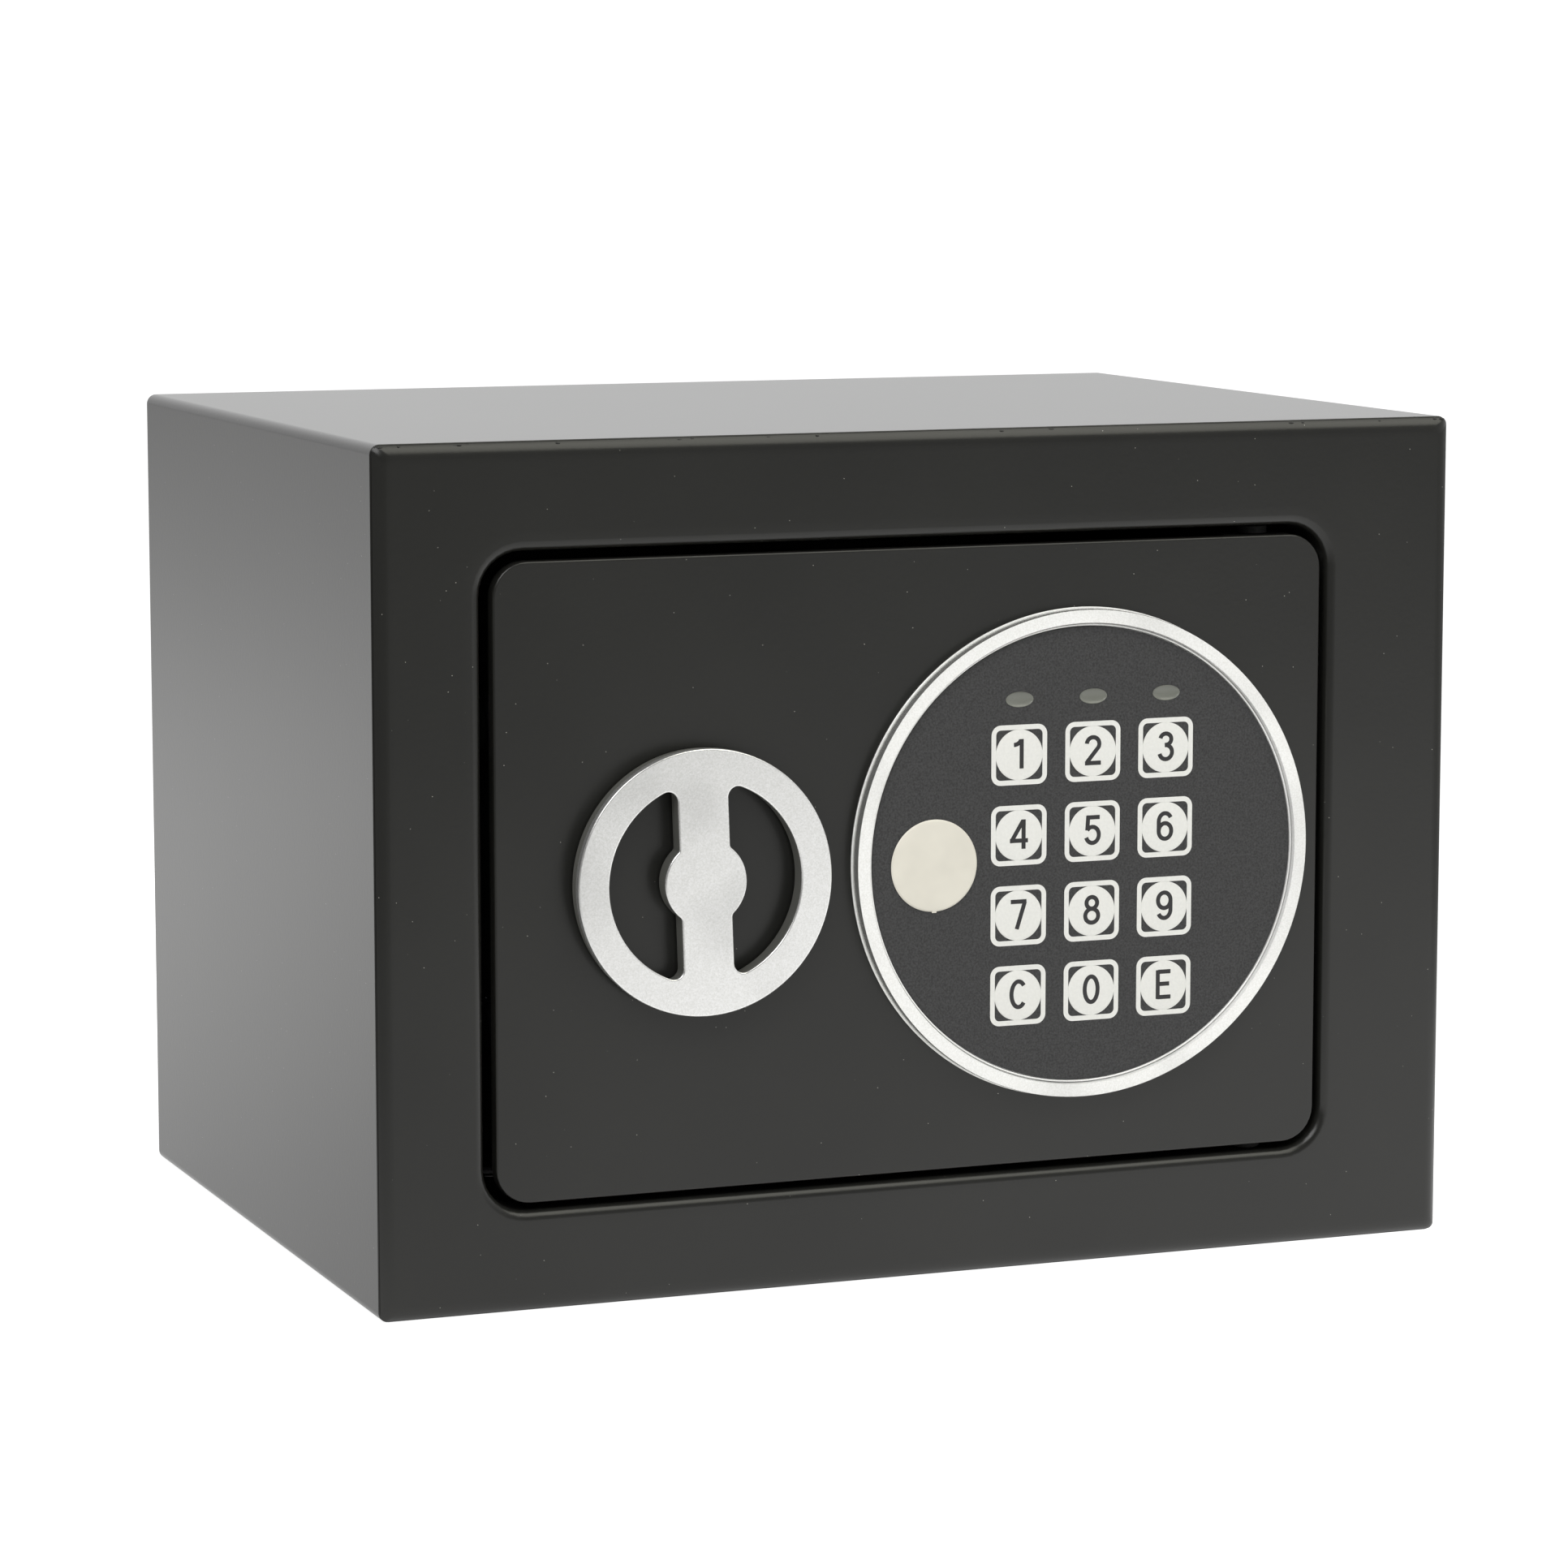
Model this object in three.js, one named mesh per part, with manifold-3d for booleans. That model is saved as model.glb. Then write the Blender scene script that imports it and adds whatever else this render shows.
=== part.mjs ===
// A small electronic safe: a folded steel cabinet with a hinged door, a round keypad, a turning
// knob that throws two bolts, an emergency key lock, and the latch, board and batteries inside.
// Millimetres. Seen from the front, +X is to the right, +Y goes into the safe and +Z is up.

import * as THREE from 'three';
import { mergeVertices } from 'three/addons/utils/BufferGeometryUtils.js';
import Module from 'manifold-3d';

const wasm = await Module();
wasm.setup();

// Cabinet
const WIDTH = 230;
const HEIGHT = 170;
const DEPTH = 170;
const SHEET = 1;
const FOLD_RADIUS = 2; // outside radius of the long folds
const EDGE_RADIUS = 2.4; // rolled edge of the back panel
const EDGE_STEP = 1.6; // the folded sheet's cut edges stand back this far
const LAP = 12; // flanges of the front frame and the back panel, inside the folded sheet
const SEAM = 0.15; // gap between pieces that are welded, riveted or pressed together
const ANCHOR_RADIUS = 5;
const ANCHOR_SPACING = 110;
const ANCHOR_SET_BACK = 55; // floor holes, from the back panel
const ANCHOR_HEIGHT = 95; // wall holes, above the base
const MAT_THICKNESS = 2;
const MAT_MARGIN = 2;

// Front frame
const FRAME_SHEET = 1.5;
const RIM_RADIUS = 3; // rolled edge
const RIM_STEP = 0.5; // how far it stands out over the folded sheet's cut edge
const LEFT_STILE = 21.4;
const RIGHT_STILE = 27.7;
const TOP_RAIL = 21.1;
const BOTTOM_RAIL = 20;
const OPENING_CORNER = 8.5;
const LIP_RADIUS = 1.3;
const LIP_DEPTH = 10;

// Door plate and hinge
const DOOR_GAP = { left: 2.4, right: 1.5, bottom: 1.5, top: 2 };
const DOOR_CORNER = 7;
const DOOR_SET_BACK = 0.3;
const DOOR_THICKNESS = 3;
const DOOR_EDGE = 0.5;
const HINGE_INSET = 13; // hinge axis, from the door's edge
const PIN_RADIUS = 2;
const PIN_REACH = 3; // past the frame's flange
const COLLAR_RADIUS = 3;
const LUG_THICKNESS = 3;
const LUG_WIDTH = 14;
const LUG_STEP = 0; // lug face, in from the door's edge
const RUNNING = 0.3; // clearance of what turns or slides

// Cover over the inside of the door
const COVER_INSET = 5.5;
const COVER_SHEET = 1;
const COVER_DEPTH = 23.6;
const COVER_CORNER = 3;
const SCREW_RADIUS = 1.5;
const SCREW_HEAD_RADIUS = 3;
const SCREW_HEAD_HEIGHT = 1.6;
const SCREW_LENGTH = 8;
const CROSS_LENGTH = 3.3; // recess in the screw's head
const CROSS_WIDTH = 0.7;
const POST_WALL = 2;
const POST_INSET = 6.8; // screw posts, from the cover's edge

// Keypad
const PAD_X = 32.3; // from the cabinet's middle
const PAD_RISE = 0.1; // above the door's middle
const BEZEL_RADIUS = 49.65;
const BEZEL_WIDTH = 3;
const BEZEL_HEIGHT = 3.5;
const BEZEL_EDGE = 0.4;
const LEDGE_WIDTH = 3.7;
const FACE_RECESS = 1.2;
const FACE_THICKNESS = 0.8;
const FACE_FIT = 0.15;
const LENS_FIT = 0.05; // lens bar, pinched between the face and the board
const BOARD_GAP = 0.1; // under a pressed key
const BOARD_SHEET = 0.8;
const KEY_PITCH_SHARE = { x: 0.3243, z: 0.3263 }; // of the bezel's radius, as the next two
const KEYS_SHARE = { x: 0.0383, z: -0.0725 }; // middle of the keys, from the keypad's middle
const LED_STEP_SHARE = 0.2236; // lights, above the top row of keys
const KEY_RADIUS = 5.1;
const KEY_PROUD = 0.1;
const KEY_TRAVEL = 0.5;
const LED_LENGTH = 6;
const LED_WIDTH = 3.1;
const LENS_CLEARANCE = 1; // ends of the lens bar, from the bezel's ledge
const KEY_NAMES = [
  ['1', '2', '3'],
  ['4', '5', '6'],
  ['7', '8', '9'],
  ['c', '0', 'e'],
];

// Emergency lock behind its cover
const LOCK_OFFSET_X = -32.6; // from the keypad's middle
const LOCK_OFFSET_Z = -0.6;
const CAP_RADIUS = 9.25;
const CAP_PROUD = 0.5;
const CAP_STUB_RADIUS = 7.4;
const LOCK_HEAD_RADIUS = 7.2;
const LOCK_HEAD_HEIGHT = 1.1;
const LOCK_RADIUS = 6.5;
const LOCK_DEPTH = 13.7; // behind the door plate
const PLUG_RADIUS = 4.3;
const KEYWAY_WIDTH = 1.4;
const KEYWAY_HEIGHT = 5.4;
const KEYWAY_DEPTH = 9;
const LOCK_NUT_RADIUS = 9.5;
const LOCK_NUT_HEIGHT = 2.6;
const TAIL_RADIUS = 2.2;
const LOCK_CAM_LENGTH = 13;
const LOCK_CAM_RADIUS = 2;
const LOCK_CAM_SHEET = 1.5;
const LOCK_CAM_HUB = 4;
const LOCK_CAM_REST = 247; // degrees, seen from the front, anticlockwise from +X

// Knob
const KNOB_X = -49.6; // from the cabinet's middle
const KNOB_DROP = 0.8; // below the door's middle
const KNOB_RADIUS = 26.35;
const KNOB_RIM = 6.4;
const KNOB_SPOKE = 10.5;
const KNOB_HUB_RADIUS = 8.5;
const KNOB_WINDOW_CORNER = 2;
const KNOB_STANDOFF = 0.6; // knob, clear of the door plate
const KNOB_FACE_SHEET = 2;
const KNOB_BODY_HEIGHT = 2.6;
const KNOB_BODY_STEP = 0.3; // black body, inside the silver face all round
const KNOB_TILT = 2; // degrees
const SHAFT_RADIUS = 4;
const SHAFT_NECK_RADIUS = 3;
const BUSH_WALL = 1.5;
const BUSH_FLANGE_RADIUS = 8;
const BUSH_FLANGE = 1;
const CLIP_RADIUS = 5;
const CLIP_SHEET = 0.8;

// Bolt work
const BOLT_RADIUS = 6;
const BOLT_SPACING = 60;
const BOLT_TRAVEL = 12;
const BOLT_SLACK = 2; // between the frame's lip and the thrown bolts
const BOLT_NOSE = 2.8; // drawn bolts, out of the cover's side
const BOLT_TAIL_RADIUS = 3;
const BOLT_CHAMFER = 1;
const CAM_SWING = 70; // degrees of knob turn
const CAM_PIN_RADIUS = 2;
const CAM_SHEET = 2;
const CAM_ARM_RADIUS = 5;
const CARRIAGE_SHEET = 1.5;
const CARRIAGE_SHOULDER = 10.4; // bolt flange, left of the knob's axis
const CARRIAGE_MARGIN = 8; // past the bolts' axes
const CARRIAGE_WEB = 5;
const GUIDE_RADIUS = 2.5;
const GUIDE_HEAD_RADIUS = 4.5;
const GUIDE_OFFSET_X = -4.4; // from the knob's axis
const GUIDE_OFFSET_Z = 20;
const LATCH_HEIGHT = 12;
const LATCH_TOP = 8.1; // above the knob's axis
const LATCH_DEPTH = 8;

// Solenoid
const SOLENOID_OFFSET_X = -13.7; // from the lock's axis
const SOLENOID_LENGTH = 26;
const SOLENOID_WIDTH = 22;
const SOLENOID_SHEET = 1.5;
const SOLENOID_DEPTH = 16.6;
const SOLENOID_RISE = 12.5; // frame, above the latch
const COIL_RADIUS = 7;
const PLUNGER_RADIUS = 3;
const PLUNGER_LENGTH = 30;
const LATCH_OVERLAP = 2.7;
const PEG_RADIUS = 1.5;
const PEG_HEIGHT = 2.2; // peg axis, above the plunger's tip
const PEG_REACH = 8.3;
const COLLAR_HEIGHT = 4.2; // spring collar, above the plunger's tip
const COLLAR_SHEET = 1.5;
const SPRING_RADIUS = 3.9;
const SPRING_WIRE = 0.35;
const SPRING_TURNS = 4;

// Main circuit board
const PCB_WIDTH = 52;
const PCB_HEIGHT = 39;
const PCB_SIDE_INSET = 14.3; // from the cover's right edge
const PCB_TOP_INSET = 4.4;
const PCB_SHEET = 1.6;
const PCB_STANDOFF = 4.7;
const PCB_POST_RADIUS = 2.5;
const PCB_POST_INSET = 4.5;
const BUZZER_INSET = 15; // from the board's left edge
const BUZZER_RADIUS = 6;
const BUZZER_HEIGHT = 7;
const SWITCH_SIZE = 8;
const SWITCH_HEIGHT = 6;
const BUTTON_RADIUS = 3;
const BUTTON_STEM_RADIUS = 1.9;
const BUTTON_STEM_LENGTH = 2.2;
const BUTTON_TRAVEL = 0.8;
const BUTTON_PROUD = 1;
const WIRE_HOLE_RADIUS = 4;

// Battery box
const BATTERY_RADIUS = 7.25;
const BATTERY_LENGTH = 50.5;
const BATTERY_NUB_RADIUS = 2.7;
const BATTERY_NUB = 1;
const BATTERY_COUNT = 4;
const BATTERY_PITCH = 15.2;
const CONTACT_SPACE = 2.2; // for the contacts at each end
const HOLDER_WALL = 1.2;
const HOLDER_SIDE_INSET = 2.15; // rim, from the cover's right edge
const HOLDER_BOTTOM_INSET = 1.5;
const HOLDER_RIM = 2.5;
const HOLDER_RIM_SHEET = 1;
const RAIL_WALL = 1.2;
const TAB_REACH = 1.2; // tabs of the rails, over the lid's edges
const TAB_LENGTH = 8;
const TAB_INSET = 5;
const TAB_PITCH = 30;
const TAB_COUNT = 2;
const LID_TRAVEL = 12; // to where the lid's notches come under the tabs
const LID_SHEET = 1.6;
const LID_GRIP_LENGTH = 16;
const LID_GRIP_WIDTH = 3;
const LID_GRIP_HEIGHT = 0.8;

// How finely the curves are cut
const CORNER_STEPS = 4;
const ROLL_STEPS = 3;
const SMALL_SIDES = 12;
const SIDES = 20;
const ROUND_SIDES = 48;
const BEZEL_SIDES = 64;
const SHARPEST_CORNER = 0.05;
const OVERSHOOT = 1; // cutting tools, past the face that they cut

// Places that follow from the sizes above
const opening = {
  left: -WIDTH / 2 + LEFT_STILE,
  right: WIDTH / 2 - RIGHT_STILE,
  bottom: BOTTOM_RAIL,
  top: HEIGHT - TOP_RAIL,
};
const doorEdge = {
  left: opening.left + DOOR_GAP.left,
  right: opening.right - DOOR_GAP.right,
  bottom: opening.bottom + DOOR_GAP.bottom,
  top: opening.top - DOOR_GAP.top,
};
const doorMiddle = (doorEdge.bottom + doorEdge.top) / 2;
const knobHeight = doorMiddle - KNOB_DROP;
const padHeight = doorMiddle + PAD_RISE;
const coverEdge = grow(doorEdge, -COVER_INSET);
const doorFront = DOOR_SET_BACK;
const doorBack = DOOR_SET_BACK + DOOR_THICKNESS;
const coverFront = doorBack + SEAM;
const coverBack = coverFront + COVER_DEPTH;
const hinge = { x: doorEdge.right - HINGE_INSET, y: doorBack + PIN_RADIUS + RUNNING };
const keyPitch = { x: BEZEL_RADIUS * KEY_PITCH_SHARE.x, z: BEZEL_RADIUS * KEY_PITCH_SHARE.z };
const keys = { x: BEZEL_RADIUS * KEYS_SHARE.x, z: BEZEL_RADIUS * KEYS_SHARE.z };
const lock = { x: PAD_X + LOCK_OFFSET_X, z: padHeight + LOCK_OFFSET_Z };
const bezelFront = doorFront - BEZEL_HEIGHT;
const faceFront = bezelFront + FACE_RECESS;
const faceBack = faceFront + FACE_THICKNESS;
const keyFront = faceFront - KEY_PROUD;
const keyboardFront = faceBack + KEY_TRAVEL + BOARD_GAP;
const knobBack = doorFront - KNOB_STANDOFF;
const knobFaceBack = knobBack - KNOB_BODY_HEIGHT - SEAM;
const knobFront = knobFaceBack - KNOB_FACE_SHEET;
const camFront = doorBack + BUSH_FLANGE + 2 * RUNNING;
const camBack = camFront + CAM_SHEET;
const carriageFront = camBack + RUNNING;
const carriageBack = carriageFront + CARRIAGE_SHEET;
const boltDepth = LIP_DEPTH + BOLT_SLACK + BOLT_RADIUS;
const boltTip = coverEdge.left - BOLT_NOSE;
const camRadius = BOLT_TRAVEL / 2 / Math.sin(radians(CAM_SWING / 2));
const solenoidX = lock.x + SOLENOID_OFFSET_X;
const latchEnd = solenoidX + PLUNGER_RADIUS + LATCH_OVERLAP;
const latchZ = knobHeight + LATCH_TOP;
const plungerTip = latchZ + RUNNING;
const solenoidZ = latchZ + SOLENOID_RISE;
const solenoidFront = doorBack + SEAM;
const plungerDepth = solenoidFront + SOLENOID_DEPTH / 2 + SOLENOID_SHEET / 2;
const pcbFront = doorBack + PCB_STANDOFF;
const pcbBack = pcbFront + PCB_SHEET;
const pcb = {
  left: coverEdge.right - PCB_SIDE_INSET - PCB_WIDTH,
  right: coverEdge.right - PCB_SIDE_INSET,
  bottom: coverEdge.top - PCB_TOP_INSET - PCB_HEIGHT,
  top: coverEdge.top - PCB_TOP_INSET,
};
const frontReach = -knobFront;
const cellsHeight = (BATTERY_COUNT - 1) * BATTERY_PITCH + 2 * BATTERY_RADIUS;
const holderInside = areaOf(BATTERY_LENGTH + 2 * CONTACT_SPACE, cellsHeight + 2 * SEAM);
const holderOutside = grow(holderInside, HOLDER_WALL);
const rimArea = grow(holderOutside, HOLDER_RIM);
const holder = {
  x: coverEdge.right - HOLDER_SIDE_INSET - rimArea.right,
  z: coverEdge.bottom + HOLDER_BOTTOM_INSET - rimArea.bottom,
};
const openLidEdge = holder.x + rimArea.left - LID_TRAVEL;

function radians(degrees) {
  return THREE.MathUtils.degToRad(degrees);
}

function grow(area, by) {
  return {
    left: area.left - by,
    right: area.right + by,
    bottom: area.bottom - by,
    top: area.top + by,
  };
}

function areaOf(width, height) {
  return { left: -width / 2, right: width / 2, bottom: -height / 2, top: height / 2 };
}

// Booleans

function toSolid(geometry) {
  const bare = new THREE.BufferGeometry();
  bare.setAttribute('position', geometry.getAttribute('position'));
  if (geometry.index) bare.setIndex(geometry.index);
  const merged = mergeVertices(bare);
  return new wasm.Manifold(new wasm.Mesh({
    numProp: 3,
    vertProperties: merged.attributes.position.array,
    triVerts: Uint32Array.from(merged.index.array),
  }));
}

function toGeometry(solid) {
  const mesh = solid.getMesh();
  const geometry = new THREE.BufferGeometry();
  geometry.setAttribute('position', new THREE.BufferAttribute(mesh.vertProperties, 3));
  geometry.setIndex(new THREE.BufferAttribute(mesh.triVerts, 1));
  return geometry;
}

function join(first, ...others) {
  return toGeometry(others.reduce((sum, geometry) => sum.add(toSolid(geometry)), toSolid(first)));
}

function cut(stock, ...tools) {
  return toGeometry(tools.reduce((rest, tool) => rest.subtract(toSolid(tool)), toSolid(stock)));
}

function common(first, second) {
  return toGeometry(toSolid(first).intersect(toSolid(second)));
}

// Basic forms, in the safe's frame

function block(x, y, z) {
  return new THREE.BoxGeometry(x[1] - x[0], y[1] - y[0], z[1] - z[0])
    .translate((x[0] + x[1]) / 2, (y[0] + y[1]) / 2, (z[0] + z[1]) / 2);
}

// A solid of revolution about the Y axis. Its profile is [radius, y] points, which run with the
// material on their left.
function turned(profile, sides = SIDES) {
  return new THREE.LatheGeometry(profile.map(([r, y]) => new THREE.Vector2(r, y)), sides);
}

function rod(radius, from, to, sides = SIDES) {
  return turned([[0, from], [radius, from], [radius, to], [0, to]], sides);
}

function ring(outer, inner, from, to, sides = SIDES) {
  return turned([[inner, from], [outer, from], [outer, to], [inner, to], [inner, from]], sides);
}

function alongZ(geometry) {
  return geometry.rotateX(Math.PI / 2);
}

function alongX(geometry) {
  return geometry.rotateZ(-Math.PI / 2);
}

// A flat shape drawn in X and Z as the front shows it, made solid between two depths.
function slab(shape, from, to) {
  return new THREE.ExtrudeGeometry(shape, {
    depth: to - from,
    bevelEnabled: false,
    curveSegments: SMALL_SIDES / 2,
  }).rotateX(Math.PI / 2).translate(0, to, 0);
}

// A slot with round ends, from one centre to another, drawn in X and Z.
function slotShape(x0, z0, x1, z1, radius) {
  const angle = Math.atan2(z1 - z0, x1 - x0);
  const shape = new THREE.Shape();
  shape.absarc(x1, z1, radius, angle - Math.PI / 2, angle + Math.PI / 2, false);
  shape.absarc(x0, z0, radius, angle + Math.PI / 2, angle + 1.5 * Math.PI, false);
  return shape;
}

// The points of a rectangle with round corners, anticlockwise as the front shows it.
function outline(area, corner) {
  const radius = Math.max(corner, SHARPEST_CORNER);
  const centres = [
    [area.right - radius, area.top - radius],
    [area.left + radius, area.top - radius],
    [area.left + radius, area.bottom + radius],
    [area.right - radius, area.bottom + radius],
  ];
  return centres.flatMap(([x, z], quarter) =>
    Array.from({ length: CORNER_STEPS + 1 }, (_, step) => {
      const angle = (quarter + step / CORNER_STEPS) * (Math.PI / 2);
      return [x + radius * Math.cos(angle), z + radius * Math.sin(angle)];
    }));
}

// A skin over outlines that follow each other, from the back to the front on the outside.
// Open ends are closed flat, or the last outline joins the first.
function skin(outlines, closed) {
  const count = outlines[0].points.length;
  const positions = outlines.flatMap(({ points, y }) => points.flatMap(([x, z]) => [x, y, z]));
  const faces = [];
  const bands = closed ? outlines.length : outlines.length - 1;
  for (let i = 0; i < bands; i++) {
    const here = i * count;
    const next = ((i + 1) % outlines.length) * count;
    for (let j = 0; j < count; j++) {
      const k = (j + 1) % count;
      faces.push(here + j, here + k, next + k, here + j, next + k, next + j);
    }
  }
  if (!closed) {
    const last = (outlines.length - 1) * count;
    for (let j = 1; j < count - 1; j++) {
      faces.push(0, j + 1, j, last, last + j, last + j + 1);
    }
  }
  const geometry = new THREE.BufferGeometry();
  geometry.setAttribute('position', new THREE.Float32BufferAttribute(positions, 3));
  geometry.setIndex(faces);
  return geometry;
}

// The rolled edge of a sheet: how far each point lies in from the flange, and how deep.
function roll(radius, sheet, start = 0) {
  const inner = Math.max(radius - sheet, SHARPEST_CORNER);
  const turn = Math.PI / 2 - start;
  const steps = Array.from({ length: ROLL_STEPS + 1 }, (_, i) => start + (i / ROLL_STEPS) * turn);
  return {
    outside: steps.map((a) => [radius * (1 - Math.cos(a)), radius * (1 - Math.sin(a))]),
    inside: steps.map((a) => [
      sheet + inner * (1 - Math.cos(a)),
      sheet + inner * (1 - Math.sin(a)),
    ]),
  };
}

// A shallow tray about the origin: its face at y = 0 looks forwards, and its flanges go back.
function tray(area, corner, edgeRadius, sheet, depth) {
  const { outside, inside } = roll(edgeRadius, sheet);
  const at = (inset, y) => ({ points: outline(grow(area, -inset), corner - inset), y });
  return skin([
    ...inside.toReversed().map(([inset, y]) => at(inset, y)),
    at(sheet, depth),
    at(0, depth),
    ...outside.map(([inset, y]) => at(inset, y)),
  ], false);
}

// Materials

function finish(color, roughness, metalness) {
  return new THREE.MeshStandardMaterial({ color, roughness, metalness });
}

const charcoalPaint = finish('#343431', 0.5, 0.3);
const blackPaint = finish('#232322', 0.6, 0.2);
const silverPlastic = finish('#dcdcd8', 0.3, 0.7);
const bezelPlastic = finish('#e6e6e3', 0.35, 0.5);
const blackPlastic = finish('#1d1d1e', 0.55, 0);
const keypadFilm = finish('#434343', 0.6, 0);
const keyWhite = finish('#e8e8e5', 0.5, 0);
const ivoryPlastic = finish('#e3dfd4', 0.4, 0);
const lensPlastic = finish('#7d7f7b', 0.35, 0);
const zincSteel = finish('#b9bcbf', 0.35, 0.9);
const lockBrass = finish('#c9b072', 0.3, 0.9);
const coilCopper = finish('#a5622f', 0.5, 0.6);
const boardGreen = finish('#2d5a37', 0.5, 0);
const cellWrap = finish('#2a2c30', 0.35, 0.4);
const redPlastic = finish('#b3261e', 0.4, 0);
const nylon = finish('#d9d6cc', 0.5, 0);
const greyFelt = finish('#3c3c3d', 0.95, 0);

function addPiece(group, name, geometry, material, x = 0, z = 0) {
  const mesh = new THREE.Mesh(geometry, material);
  mesh.name = name;
  mesh.position.set(x, 0, z);
  group.add(mesh);
}

function addGroup(parent, x = 0, z = 0) {
  const group = new THREE.Group();
  group.position.set(x, 0, z);
  parent.add(group);
  return group;
}

// Cabinet

function bodyWrap() {
  const outside = { left: -WIDTH / 2, right: WIDTH / 2, bottom: 0, top: HEIGHT };
  const inside = grow(outside, -SHEET);
  const inner = outline(inside, FOLD_RADIUS - SHEET);
  const outer = outline(outside, FOLD_RADIUS);
  const wrap = skin([
    { points: outer, y: DEPTH - EDGE_STEP },
    { points: outer, y: EDGE_STEP },
    { points: inner, y: EDGE_STEP },
    { points: inner, y: DEPTH - EDGE_STEP },
  ], true);
  return cut(wrap, ...floorHoles());
}

function floorHoles() {
  return [-1, 1].map((side) =>
    alongZ(rod(ANCHOR_RADIUS, -OVERSHOOT, SHEET + MAT_THICKNESS + 2 * OVERSHOOT, SIDES))
      .translate(side * ANCHOR_SPACING / 2, DEPTH - ANCHOR_SET_BACK, 0));
}

function endPanelArea() {
  const inset = SHEET + SEAM;
  return grow({ left: -WIDTH / 2, right: WIDTH / 2, bottom: 0, top: HEIGHT }, -inset);
}

function frontFrame() {
  const area = endPanelArea();
  const corner = FOLD_RADIUS - SHEET - SEAM;
  const rimFoot = EDGE_STEP - SEAM;
  const rim = roll(RIM_RADIUS, FRAME_SHEET, Math.asin(1 - rimFoot / RIM_RADIUS)).outside;
  const rimShift = rim[0][0] + RIM_STEP;
  const lip = roll(LIP_RADIUS, FRAME_SHEET);
  const outer = (inset, y) => ({ points: outline(grow(area, -inset), corner - inset), y });
  const inner = (out, y) => ({ points: outline(grow(opening, out), OPENING_CORNER + out), y });
  const frame = skin([
    outer(0, LAP),
    outer(0, rimFoot),
    ...rim.map(([inset, y]) => outer(inset - rimShift, y)),
    ...lip.outside.toReversed().map(([out, y]) => inner(out, y)),
    inner(0, LIP_DEPTH),
    inner(FRAME_SHEET, LIP_DEPTH),
    ...lip.inside.map(([out, y]) => inner(out, y)),
    outer(FRAME_SHEET, FRAME_SHEET),
    outer(FRAME_SHEET, LAP),
  ], true);
  const hingeHole = (z) =>
    alongZ(rod(PIN_RADIUS + RUNNING, z - 2 * OVERSHOOT, z + 2 * OVERSHOOT, SMALL_SIDES))
      .translate(hinge.x, hinge.y, 0);
  return cut(
    frame,
    hingeHole(opening.top + FRAME_SHEET / 2),
    hingeHole(opening.bottom - FRAME_SHEET / 2),
  );
}

function backPanel() {
  const area = endPanelArea();
  const middle = HEIGHT / 2;
  const centred = areaOf(area.right - area.left, area.top - area.bottom);
  const panel = tray(centred, FOLD_RADIUS - SHEET - SEAM, EDGE_RADIUS, SHEET, LAP)
    .rotateZ(Math.PI)
    .translate(0, DEPTH, middle);
  const holes = [-1, 1].map((side) =>
    rod(ANCHOR_RADIUS, DEPTH - SHEET - OVERSHOOT, DEPTH + OVERSHOOT)
      .translate(side * ANCHOR_SPACING / 2, 0, ANCHOR_HEIGHT));
  return cut(panel, ...holes);
}

function floorMat() {
  const reach = WIDTH / 2 - SHEET - FRAME_SHEET - MAT_MARGIN;
  const mat = block(
    [-reach, reach],
    [LAP + MAT_MARGIN, DEPTH - LAP - MAT_MARGIN],
    [SHEET + SEAM, SHEET + SEAM + MAT_THICKNESS],
  );
  return cut(mat, ...floorHoles());
}

const safe = new THREE.Group();
addPiece(safe, 'body_wrap', bodyWrap(), charcoalPaint);
addPiece(safe, 'front_frame', frontFrame(), charcoalPaint);
addPiece(safe, 'back_panel', backPanel(), charcoalPaint);
addPiece(safe, 'floor_mat', floorMat(), greyFelt);

// Door plate, with the posts welded on its back

const coverPosts = [
  { x: coverEdge.left + POST_INSET, z: coverEdge.top - POST_INSET },
  { x: coverEdge.left + POST_INSET, z: coverEdge.bottom + POST_INSET },
  { x: openLidEdge - SCREW_HEAD_RADIUS - 2 * RUNNING, z: coverEdge.bottom + POST_INSET },
  { x: coverEdge.right - POST_INSET, z: coverEdge.top - POST_INSET },
];
const pcbPosts = [pcb.left + PCB_POST_INSET, pcb.right - PCB_POST_INSET].flatMap((x) =>
  [pcb.bottom + PCB_POST_INSET, pcb.top - PCB_POST_INSET].map((z) => ({ x, z })));
const bushHoleRadius = SHAFT_RADIUS + RUNNING + BUSH_WALL + SEAM;
const wireHole = { x: PAD_X + keys.x + keyPitch.x / 2, z: padHeight + keys.z + keyPitch.z };

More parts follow.
